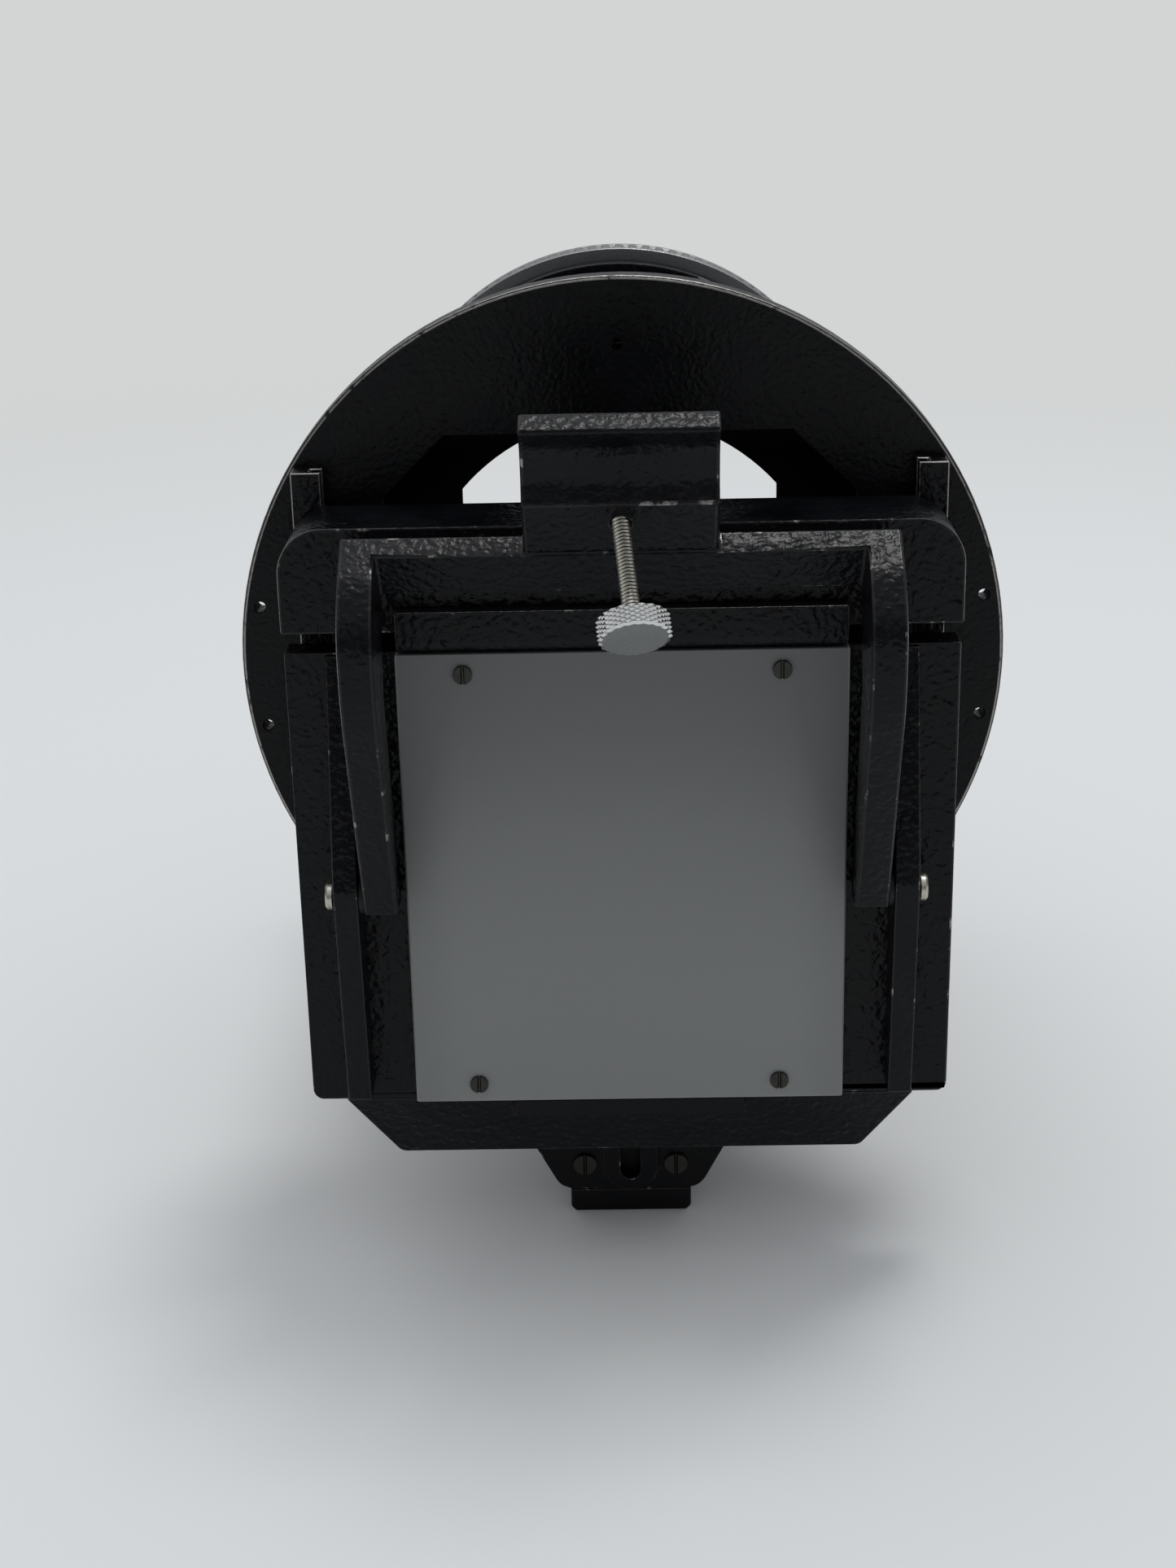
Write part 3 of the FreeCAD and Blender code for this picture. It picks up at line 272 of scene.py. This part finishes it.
def opal_acrylic():
    """Milky acrylic with painted shade towards its top and its sides."""
    material = new_material("opal_acrylic")
    place = add(material, "SeparateXYZ", inputs={0: add(material, "TexCoord").outputs["Object"]})
    # Painted shade: the tone darkens towards the top of the sheet and towards its sides.
    top = add(material, "MapRange", {"interpolation_type": "SMOOTHSTEP"}, {
        "Value": place.outputs["Z"], "From Min": opal_low.z + OPAL_SHADE_START, "From Max": opal_high.z})
    middle = (opal_low.x + opal_high.x) / 2
    offset = add(material, "Math", {"operation": "SUBTRACT"}, {0: place.outputs["X"], 1: middle})
    side = add(material, "Math", {"operation": "ABSOLUTE"}, {0: offset.outputs["Value"]})
    half = (opal_high.x - opal_low.x) / 2
    edge = add(material, "MapRange", {"interpolation_type": "SMOOTHSTEP"}, {
        "Value": side.outputs["Value"], "From Min": half * 0.72, "From Max": half})
    shade = add(material, "Math", {"operation": "MULTIPLY_ADD"},
                {0: edge.outputs["Result"], 1: 0.45, 2: top.outputs["Result"]})
    tone = ramp(material, shade.outputs["Value"], [(0.0, "868887"), (0.55, "7c7e7d"), (1.0, "686a6a")])
    shader = add(material, "BsdfPrincipled", inputs={
        "Base Color": tone, "Roughness": 0.42, "IOR": 1.49, "Subsurface Weight": 0.25,
        "Subsurface Radius": (1.0, 1.0, 1.0), "Subsurface Scale": 3 * MM})
    return finish_material(material, shader.outputs["BSDF"])


def clear_glass():
    """Window glass: a thin coat of reflections over a view straight through."""
    material = new_material("clear_glass")
    place = add(material, "TexCoord").outputs["Object"]
    smear = add(material, "TexNoise", inputs={"Vector": place, "Scale": 1 / (9 * MM), "Detail": 2.0})
    rough = add(material, "MapRange", inputs={"Value": smear.outputs["Fac"], "To Min": 0.0, "To Max": 0.06})
    shader = add(material, "BsdfPrincipled", inputs={
        "Base Color": colour("eef3f2"), "Roughness": rough.outputs["Result"], "IOR": 1.52,
        "Transmission Weight": 1.0})
    return finish_material(material, shader.outputs["BSDF"])


def bellows_cloth():
    """Rubberised cloth: a fine plain weave under a dull black coat."""
    thread = 0.8 * MM
    material = new_material("rubberised_cloth")
    place = add(material, "TexCoord").outputs["UV"]
    weave = add(material, "TexChecker", inputs={"Vector": place, "Scale": 420.0})
    grain = add(material, "TexNoise", inputs={
        "Vector": add(material, "TexCoord").outputs["Object"], "Scale": 1 / thread, "Detail": 2.0})
    height = add(material, "Math", {"operation": "MULTIPLY_ADD"},
                 {0: weave.outputs["Fac"], 1: 0.3, 2: grain.outputs["Fac"]})
    tone = ramp(material, grain.outputs["Fac"], [(0.3, "0d0d0e"), (0.7, "1a1a1b")])
    normal = add(material, "Bump", inputs={"Height": height.outputs["Value"], "Distance": 0.05 * MM})
    shader = add(material, "BsdfPrincipled", inputs={
        "Base Color": tone, "Roughness": 0.68, "Normal": normal.outputs["Normal"]})
    return finish_material(material, shader.outputs["BSDF"])


opal = opal_acrylic()
glass = clear_glass()
cloth = bellows_cloth()
plate_black = enamel("blank_plate_lacquer", 0.8 * MM, 0.01 * MM, "101012", 0.3)
print("diffuser in mm:", [round(size / MM, 1) for size in opal_high - opal_low])

# %% [markdown]
# A part straight from CAD has knife edges, and nothing real has. Each casting is a copy of its
# CAD mesh, merged back into whole faces, with a small bevel on every sharp edge. The bevel's own
# faces take the second material, which is how the wear follows the edges and nothing else.

# %% Softened castings
def select_only(item):
    bpy.ops.object.select_all(action="DESELECT")
    item.select_set(True)
    bpy.context.view_layer.objects.active = item


def apply_modifiers(item):
    select_only(item)
    for modifier in list(item.modifiers):
        bpy.ops.object.modifier_apply(modifier=modifier.name)


def stand_for(item, node):
    """Let a piece ride with the CAD node that it replaces, and hide that node."""
    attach(item, body_of[node])
    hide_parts(node)
    return item


MERGE_DISTANCE = 0.001 * MM


def copy_node(node, name):
    """A CAD node's mesh as a piece of its own, with its triangles merged into whole faces."""
    item = nodes[node].copy()
    item.data = nodes[node].data.copy()
    item.name = item.data.name = name
    bpy.context.scene.collection.objects.link(item)
    select_only(item)
    bpy.ops.object.mode_set(mode="EDIT")
    bpy.ops.mesh.select_all(action="SELECT")
    bpy.ops.mesh.remove_doubles(threshold=MERGE_DISTANCE)
    bpy.ops.mesh.dissolve_limited(angle_limit=math.radians(0.5))
    bpy.ops.object.mode_set(mode="OBJECT")
    return item


def softened(node, width, face, edge, segments=2):
    """A copy of a CAD node with bevelled edges; the bevels take the edge material."""
    item = copy_node(node, node + "_shell")
    item.data.materials.clear()
    item.data.materials.append(face)
    item.data.materials.append(edge)
    bevel = item.modifiers.new("soft_edges", "BEVEL")
    bevel.width = width
    bevel.segments = segments
    bevel.limit_method = "ANGLE"
    bevel.angle_limit = math.radians(28)
    bevel.use_clamp_overlap = False
    bevel.material = 1  # the edge material
    apply_modifiers(item)
    bpy.ops.object.shade_smooth_by_angle(angle=math.radians(32))
    level = item.modifiers.new("flat_faces_stay_flat", "WEIGHTED_NORMAL")
    level.keep_sharp = True
    apply_modifiers(item)
    return stand_for(item, node)


# Each row gives the bevel's width in mm, the finish of the faces and the finish of the edges.
CASTINGS = {
    "mounting_disc": (0.25, fine_hammertone, rim_edge),
    "guide_rail_left": (0.3, hammertone, rim_edge),
    "guide_rail_right": (0.3, hammertone, rim_edge),
    "stage_plate": (0.4, hammertone, hammertone_edge),
    "top_block": (0.6, hammertone, hammertone_edge),
    "gate_bar": (0.5, hammertone, hammertone_edge),
    "cheek_left": (0.4, hammertone, hammertone_edge),
    "cheek_right": (0.4, hammertone, hammertone_edge),
    "apron": (0.5, hammertone, hammertone_edge),
    "yoke": (0.7, hammertone, hammertone_edge),
    "front_standard": (0.6, hammertone, hammertone_edge),
    "rear_standard": (0.6, hammertone, hammertone_edge),
    "rear_post": (0.6, hammertone, hammertone_edge),
    "carriage_saddle": (0.6, hammertone, hammertone_edge),
    "rail": (0.5, satin_enamel, hammertone_edge),
    "foot_block": (0.5, satin_enamel, hammertone_edge),
    "end_plate_front": (0.4, satin_enamel, hammertone_edge),
    "end_plate_rear": (0.4, satin_enamel, hammertone_edge),
}
for node, (width, face, edge) in CASTINGS.items():
    piece = softened(node, width * MM, face, edge)
    print(piece.name, "faces:", len(piece.data.polygons))

# Only the disc's outer rim is rubbed bare, so its other edges go back to paint.
RIM_BAND = 1.5 * MM
disc_low, disc_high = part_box("mounting_disc")
axis_height = (disc_low.z + disc_high.z) / 2
rim_inside = (disc_high.z - disc_low.z) / 2 - RIM_BAND
disc_shell = bpy.data.objects["mounting_disc_shell"]
for face in disc_shell.data.polygons:
    if math.hypot(face.center.x, face.center.z - axis_height) < rim_inside:
        face.material_index = 0
print("bare rim faces:", sum(face.material_index for face in disc_shell.data.polygons))

# %% [markdown]
# The small machined parts keep their CAD shape under a finer bevel: screw heads with their slots,
# the diffuser sheet, the black boxes of the light path. The bevel is a tenth of a millimetre or
# two, just enough to catch a line of light.

# %% Machined parts
MACHINED = {
    "opal_diffuser": (0.3, opal), "opal_screws": (0.12, blackened), "pivot_screws": (0.5, nickel),
    "pivot_washers": (0.1, black_anodised), "retainer_screws": (0.12, nickel),
    "end_screws_front": (0.2, blackened), "end_screws_rear": (0.2, blackened),
    "standard_bolts": (0.3, nickel), "tripod_bush": (0.3, brass),
    "slide_plate": (0.3, black_anodised), "stage_box": (0.3, black_anodised),
    "diffuser_frame": (0.2, black_anodised), "disc_hub": (0.4, black_anodised),
    "hub_retainer": (0.3, black_anodised), "standard_drum": (0.4, black_anodised),
    "baffle_plate": (0.2, black_anodised), "bellows_front_frame": (0.3, black_anodised),
    "bellows_rear_frame": (0.3, black_anodised), "name_plate": (0.1, plate_black),
    "film_glass": (0.2, glass),
}
for node, (width, finish) in MACHINED.items():
    softened(node, width * MM, finish, finish, segments=1)
print("machined pieces:", len(MACHINED))

# %% [markdown]
# The clamp screw's knob is a disc with a diamond knurl, rolled by two crossed wheels. A ring of
# faces is cut into bands, and every other point is pressed in, like the squares of a chessboard:
# the points that stay out are the diamonds' tips. Each square is then split along its shorter
# diagonal, which runs from one pressed point to the next: that is the groove. The flat end is
# turned smooth, with a chamfer.

# %% Knurled knobs
KNURL_PITCH = 1.07 * MM
KNURL_DEPTH = 0.42 * MM
KNURL_CHAMFER = 0.35 * MM
TURNED_LIP = 0.35 * MM


def screw_axis(joint):
    """Where a turning joint's axis starts and which way is outwards."""
    origin = Vector(joints[joint]["pos_m"])
    return origin, Vector(joints[joint]["axis"]).normalized()


def span_along(node, origin, axis):
    """How far a node reaches along an axis, and its greatest radius about it."""
    points = [vertex.co - origin for vertex in nodes[node].data.vertices]
    along = [point.dot(axis) for point in points]
    radius = max((point - axis * reach).length for point, reach in zip(points, along))
    return min(along), max(along), radius


def select_vertices(item, chosen):
    """Enter edit mode with just the vertices selected whose place passes a test."""
    select_only(item)
    bpy.ops.object.mode_set(mode="EDIT")
    bpy.ops.mesh.select_mode(type="VERT")
    bpy.ops.mesh.select_all(action="DESELECT")
    bpy.ops.object.mode_set(mode="OBJECT")
    for vertex in item.data.vertices:
        vertex.select = chosen(vertex.co)
    bpy.ops.object.mode_set(mode="EDIT")


def press_in(radius, depth):
    """Draw the selected vertices towards the Z axis."""
    shrink = (radius - depth) / radius
    bpy.ops.transform.resize(value=(shrink, shrink, 1), center_override=(0, 0, 0))


def knurled_disc(name, radius, height, columns, rows, depth, rim):
    """A knurled disc along +Z, standing on the origin."""
    bpy.ops.mesh.primitive_cylinder_add(vertices=columns, radius=radius, depth=height - 2 * rim,
                                        end_fill_type="NOTHING", location=(0, 0, height / 2))
    item = bpy.context.active_object
    item.name = item.data.name = name
    bpy.ops.object.transform_apply(location=True)
    bpy.ops.object.mode_set(mode="EDIT")
    step = (height - 2 * rim) / rows
    for row in range(1, rows):
        bpy.ops.mesh.select_all(action="SELECT")
        bpy.ops.mesh.bisect(plane_co=(0, 0, rim + row * step), plane_no=(0, 0, 1))
    bpy.ops.object.mode_set(mode="OBJECT")

    def odd_square(place):
        column = round((math.atan2(place.y, place.x) % math.tau) / math.tau * columns)
        row = round((place.z - rim) / step)
        return (column + row) % 2 == 1

    select_vertices(item, odd_square)
    press_in(radius, depth)
    bpy.ops.mesh.select_all(action="SELECT")
    bpy.ops.mesh.quads_convert_to_tris(quad_method="SHORTEST_DIAGONAL")
    bpy.ops.object.mode_set(mode="OBJECT")
    for level, outward in ((rim, -1), (height - rim, 1)):
        close_end(item, level, outward, radius, depth, rim)
    return item


def close_end(item, level, outward, radius, depth, rim):
    """Chamfer and close one open end of a knurled ring."""
    select_vertices(item, lambda place: abs(place.z - level) < rim * 0.1)
    bpy.ops.mesh.extrude_region_move(TRANSFORM_OT_translate={"value": (0, 0, outward * rim)})
    press_in(radius, 1.6 * depth)
    bpy.ops.mesh.edge_face_add()
    bpy.ops.mesh.inset(thickness=TURNED_LIP, depth=0)
    bpy.ops.object.mode_set(mode="OBJECT")


def place_along(item, origin, axis, start):
    """Move a piece made along +Z onto an axis, keeping its object at the origin."""
    turn = axis.to_track_quat("Z", "Y").to_matrix().to_4x4()
    item.data.transform(Matrix.Translation(origin + axis * start) @ turn)
    item.data.update()


def knob(node, joint, outward, rows, height=None):
    """A knurled knob in place of a CAD one, or of its head where it has a shank."""
    origin, axis = screw_axis(joint)
    axis *= outward
    low, high, radius = span_along(node, origin, axis)
    height = height or high - low
    columns = 2 * round(math.pi * radius / KNURL_PITCH)
    item = knurled_disc(node + "_knurled", radius, height, columns, rows,
                        KNURL_DEPTH, KNURL_CHAMFER)
    item.data.materials.append(polished_nickel)
    place_along(item, origin, axis, high - height)
    return item, origin, axis, low, high - height


clamp_knob = knob("clamp_screw_knob", "screw_turn", -1, 8)[0]
stand_for(clamp_knob, "clamp_screw_knob")
print("knob faces:", len(clamp_knob.data.polygons))

# %% [markdown]
# The screw itself is an M4 thread, drawn at 0.8 mm from crest to crest, a little coarser than the
# true 0.7 mm so that the helix shows. One tooth of its outline, turned and raised by a Screw
# modifier, makes the whole helix, and the roots take a dark finish that is painted shade in the
# grooves. The lock screws are cousins: the same knurled disc on a plain shank, joined into one piece.

# %% Threads and lock screws
THREAD_PITCH = 0.8 * MM
THREAD_SIDES = 20
LOCK_HEAD = 8 * MM
LOCK_SHANK_RADIUS = 2.45 * MM
LOCK_SHANK_SEAT = 1 * MM


def threaded_rod(name, radius, pitch, length):
    """A threaded rod along +Z from one turned tooth."""
    root = radius - 0.62 * pitch
    mesh = bpy.data.meshes.new(name)
    tooth = [(root, 0, 0), (root, 0, 0.2 * pitch), (radius, 0, 0.44 * pitch), (radius, 0, 0.56 * pitch),
             (root, 0, 0.8 * pitch), (root, 0, pitch)]
    mesh.from_pydata(tooth, [(i, i + 1) for i in range(len(tooth) - 1)], [])
    item = bpy.data.objects.new(name, mesh)
    bpy.context.scene.collection.objects.link(item)
    turned = item.modifiers.new("helix", "SCREW")
    turned.screw_offset = pitch
    turned.iterations = int(length / pitch) - 1
    turned.steps = turned.render_steps = THREAD_SIDES
    turned.use_merge_vertices = True
    turned.merge_threshold = 0.0001 * MM
    apply_modifiers(item)
    bpy.ops.object.mode_set(mode="EDIT")
    bpy.ops.mesh.select_all(action="SELECT")
    bpy.ops.mesh.remove_doubles(threshold=MERGE_DISTANCE)
    bpy.ops.mesh.select_all(action="DESELECT")
    bpy.ops.mesh.select_non_manifold()
    bpy.ops.mesh.edge_face_add()
    bpy.ops.mesh.select_all(action="SELECT")
    bpy.ops.mesh.normals_make_consistent(inside=False)
    bpy.ops.object.mode_set(mode="OBJECT")
    return item


def clamp_shank():
    """The clamp screw's thread in place of its plain CAD shank."""
    origin, axis = screw_axis("screw_turn")
    axis = -axis
    low, high, radius = span_along("clamp_screw_shank", origin, axis)
    item = threaded_rod("clamp_screw_thread", radius, THREAD_PITCH, high - low)
    item.data.materials.append(nickel)
    item.data.materials.append(painted_root_shade)
    # Faces deep in the thread's roots take the painted shade.
    for face in item.data.polygons:
        out = math.hypot(face.center.x, face.center.y)
        face.material_index = int(out < radius - 0.45 * THREAD_PITCH)
    place_along(item, origin, axis, low)
    return stand_for(item, "clamp_screw_shank")


def lock_screw(node, joint):
    """A knurled head and its shank, joined into one piece."""
    head, origin, axis, low, start = knob(node, joint, 1, 10, LOCK_HEAD)
    reach = start - low + LOCK_SHANK_SEAT
    bpy.ops.mesh.primitive_cylinder_add(vertices=32, radius=LOCK_SHANK_RADIUS, depth=reach)
    shank = bpy.context.active_object
    shank.data.materials.append(polished_nickel)
    place_along(shank, origin, axis, low + reach / 2)
    shank.location = (0, 0, 0)
    select_only(head)
    shank.select_set(True)
    bpy.ops.object.join()
    return stand_for(head, node)


clamp_thread = clamp_shank()
lock_screw("disc_lock_screw", "disc_lock_turn")
lock_screw("carriage_lock_screw", "carriage_lock_turn")
print("thread faces:", len(clamp_thread.data.polygons))

# %% [markdown]
# The bellows is a tube of rubberised cloth, folded into pleats that stand about 6 mm apart. Rings
# cut across a cylinder become the folds when every other one is drawn in. It is glued to a frame
# at each end, between the two standards.

# %% Bellows
bellows_low, bellows_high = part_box("bellows")
PLEAT = 6.0 * MM
FOLD_DEPTH = 5.2 * MM
CLOTH_THICKNESS = 0.5 * MM
CLOTH_MARGIN = 0.3 * MM
BELLOWS_SIDES = 72


def pleated_tube():
    """The pleated cloth, centred on the disc's axis between the two frames."""
    length = bellows_high.y - bellows_low.y
    pleats = round(length / PLEAT)
    step = length / (2 * pleats)
    outer = (bellows_high.x - bellows_low.x) / 2
    bpy.ops.mesh.primitive_cylinder_add(vertices=BELLOWS_SIDES, radius=outer - CLOTH_MARGIN,
                                        depth=length, end_fill_type="NOTHING")
    item = bpy.context.active_object
    item.name = item.data.name = "pleated_bellows"
    bpy.ops.object.mode_set(mode="EDIT")
    for ring in range(1, 2 * pleats):
        bpy.ops.mesh.select_all(action="SELECT")
        bpy.ops.mesh.bisect(plane_co=(0, 0, ring * step - length / 2), plane_no=(0, 0, 1))
    bpy.ops.object.mode_set(mode="OBJECT")
    select_vertices(item, lambda place: round((place.z + length / 2) / step) % 2 == 0)
    press_in(outer, FOLD_DEPTH)
    bpy.ops.object.mode_set(mode="OBJECT")
    wall = item.modifiers.new("cloth", "SOLIDIFY")
    wall.thickness = CLOTH_THICKNESS
    wall.offset = -1
    soft = item.modifiers.new("soft_folds", "BEVEL")
    soft.width = 0.35 * MM
    soft.segments = 2
    soft.angle_limit = math.radians(30)
    apply_modifiers(item)
    bpy.ops.object.shade_smooth_by_angle(angle=math.radians(40))
    item.data.materials.append(cloth)
    place_along(item, Vector((0, bellows_low.y + length / 2, joint_height)), Vector((0, 1, 0)), 0)
    return item


joint_height = joints["disc_turn"]["pos_m"][2]
bellows = pleated_tube()
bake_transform(bellows)
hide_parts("bellows")
print("bellows faces:", len(bellows.data.polygons))

# %% [markdown]
# The lens ring at the back is turned aluminium, milled round its edge with straight grip ribs.
# A cylinder with four sides to each rib, every other pair drawn in, gives the ribs.

# %% Lens ring
ring_low, ring_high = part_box("lens_ring")
LENS_BORE = 54 * MM
RIBS = 110
GROOVE = 0.991


def lens_ring():
    """A turned ring with grip ribs round its middle and an open bore."""
    radius = (ring_high.z - ring_low.z) / 2
    length = ring_high.y - ring_low.y
    bpy.ops.mesh.primitive_cylinder_add(vertices=4 * RIBS, radius=radius, depth=length,
                                        end_fill_type="NOTHING")
    item = bpy.context.active_object
    item.name = item.data.name = "ribbed_lens_ring"
    bpy.ops.object.mode_set(mode="EDIT")
    for level in (-0.3, 0.3):
        bpy.ops.mesh.select_all(action="SELECT")
        bpy.ops.mesh.bisect(plane_co=(0, 0, level * length), plane_no=(0, 0, 1))
    bpy.ops.mesh.select_mode(type="FACE")
    bpy.ops.mesh.select_all(action="DESELECT")
    bpy.ops.object.mode_set(mode="OBJECT")
    for face in item.data.polygons:
        turn = math.atan2(face.center.y, face.center.x) % math.tau / math.tau * 4 * RIBS
        face.select = abs(face.center.z) < 0.1 * length and int(turn) % 4 < 2
    bpy.ops.object.mode_set(mode="EDIT")
    bpy.ops.mesh.extrude_region_move()
    bpy.ops.transform.resize(value=(GROOVE, GROOVE, 1), center_override=(0, 0, 0))
    bpy.ops.mesh.select_mode(type="EDGE")
    bpy.ops.mesh.select_all(action="DESELECT")
    bpy.ops.object.mode_set(mode="OBJECT")
    for edge in item.data.edges:
        ends = [item.data.vertices[i].co for i in edge.vertices]
        edge.select = all(abs(abs(end.z) - length / 2) < 0.01 * MM for end in ends)
    bpy.ops.object.mode_set(mode="EDIT")
    inner = LENS_BORE / radius
    bpy.ops.mesh.extrude_region_move()
    bpy.ops.transform.resize(value=(inner, inner, 1), center_override=(0, 0, 0))
    bpy.ops.mesh.bridge_edge_loops()
    bpy.ops.mesh.select_all(action="SELECT")
    bpy.ops.mesh.normals_make_consistent(inside=False)
    bpy.ops.object.mode_set(mode="OBJECT")
    edges = item.modifiers.new("turned_edges", "BEVEL")
    edges.width = 0.25 * MM
    edges.angle_limit = math.radians(50)
    apply_modifiers(item)
    bpy.ops.object.shade_smooth_by_angle(angle=math.radians(30))
    item.data.materials.append(turned_grey)
    place_along(item, Vector((0, (ring_low.y + ring_high.y) / 2, joint_height)), Vector((0, 1, 0)), 0)
    return stand_for(item, "lens_ring")


print("lens ring faces:", len(lens_ring().data.polygons))

# %% [markdown]
# The set is a plain pale sheet under a wide soft light. The sheet takes the object's shadow near
# by. Further out the shadow is gone, and the sheet fades to one even tone, so that no line shows
# where floor becomes wall. The ceiling and the wall behind are white, and the room in front is dim:
# black paint then stays black on upright faces, and its upper faces turn grey.

# %% Floor, light and world
PAPER = "d3d5d4"
SHADOW_REACH = 0.55
EVEN_FROM = 1.3
FLOOR_SIZE = 40


def paper():
    """Matt paper near the object, one even tone far from it."""
    material = new_material("pale_paper")
    place = add(material, "TexCoord").outputs["Object"]
    distance = add(material, "VectorMath", {"operation": "LENGTH"}, {0: place})
    far = add(material, "MapRange", {"interpolation_type": "SMOOTHSTEP"}, {
        "Value": distance.outputs["Value"], "From Min": SHADOW_REACH, "From Max": EVEN_FROM})
    near = add(material, "BsdfPrincipled", inputs={
        "Base Color": colour("e6e8e8"), "Roughness": 0.8, "Specular IOR Level": 0.2})
    even = add(material, "Emission", inputs={"Color": colour(PAPER), "Strength": 1.0})
    blend = add(material, "MixShader", inputs={
        0: far.outputs["Result"], 1: near.outputs["BSDF"], 2: even.outputs["Emission"]})
    return finish_material(material, blend.outputs["Shader"])


def floor():
    bpy.ops.object.select_all(action="DESELECT")
    bpy.ops.mesh.primitive_grid_add(x_subdivisions=4, y_subdivisions=4, size=FLOOR_SIZE, location=(0, 0, 0))
    item = bpy.context.active_object
    item.name = item.data.name = "floor_sheet"
    item.data.materials.append(paper())


def soft_light(name, place, target, size, power):
    lamp = bpy.data.lights.new(name, "AREA")
    lamp.shape = "DISK"
    lamp.size = size
    lamp.energy = power
    item = bpy.data.objects.new(name, lamp)
    bpy.context.scene.collection.objects.link(item)
    item.location = place
    item.rotation_euler = (Vector(target) - Vector(place)).to_track_quat("-Z", "Y").to_euler()


def room():
    """A world with a white ceiling and a white wall behind the object, and a dim room before it."""
    world = bpy.data.worlds.new("soft_room")
    world.use_nodes = True
    world.node_tree.nodes.clear()
    way = add(world, "SeparateXYZ", inputs={0: add(world, "TexCoord").outputs["Generated"]})
    ceiling = add(world, "MapRange", {"interpolation_type": "SMOOTHSTEP"}, {
        "Value": way.outputs["Z"], "From Min": 0.02, "From Max": 0.9, "To Min": 0.07, "To Max": 0.72})
    wall = add(world, "MapRange", {"interpolation_type": "SMOOTHSTEP"}, {
        "Value": way.outputs["Y"], "From Min": 0.1, "From Max": 0.8, "To Max": 0.5})
    both = add(world, "Math", {"operation": "MAXIMUM"},
               {0: ceiling.outputs["Result"], 1: wall.outputs["Result"]})
    around = add(world, "Background", inputs={"Color": colour("f4f6fa"), "Strength": both.outputs["Value"]})
    output = add(world, "OutputWorld")
    world.node_tree.links.new(around.outputs["Background"], output.inputs["Surface"])
    bpy.context.scene.world = world


floor()
soft_light("overhead_softbox", (0.28, 0.2, 1.9), (0, -0.05, 0), 0.6, 9.5)
soft_light("ceiling_fill", (-0.3, 0.3, 2.4), (0, 0, 0), 2.6, 10)
room()
bpy.context.scene.view_settings.view_transform = "Standard"
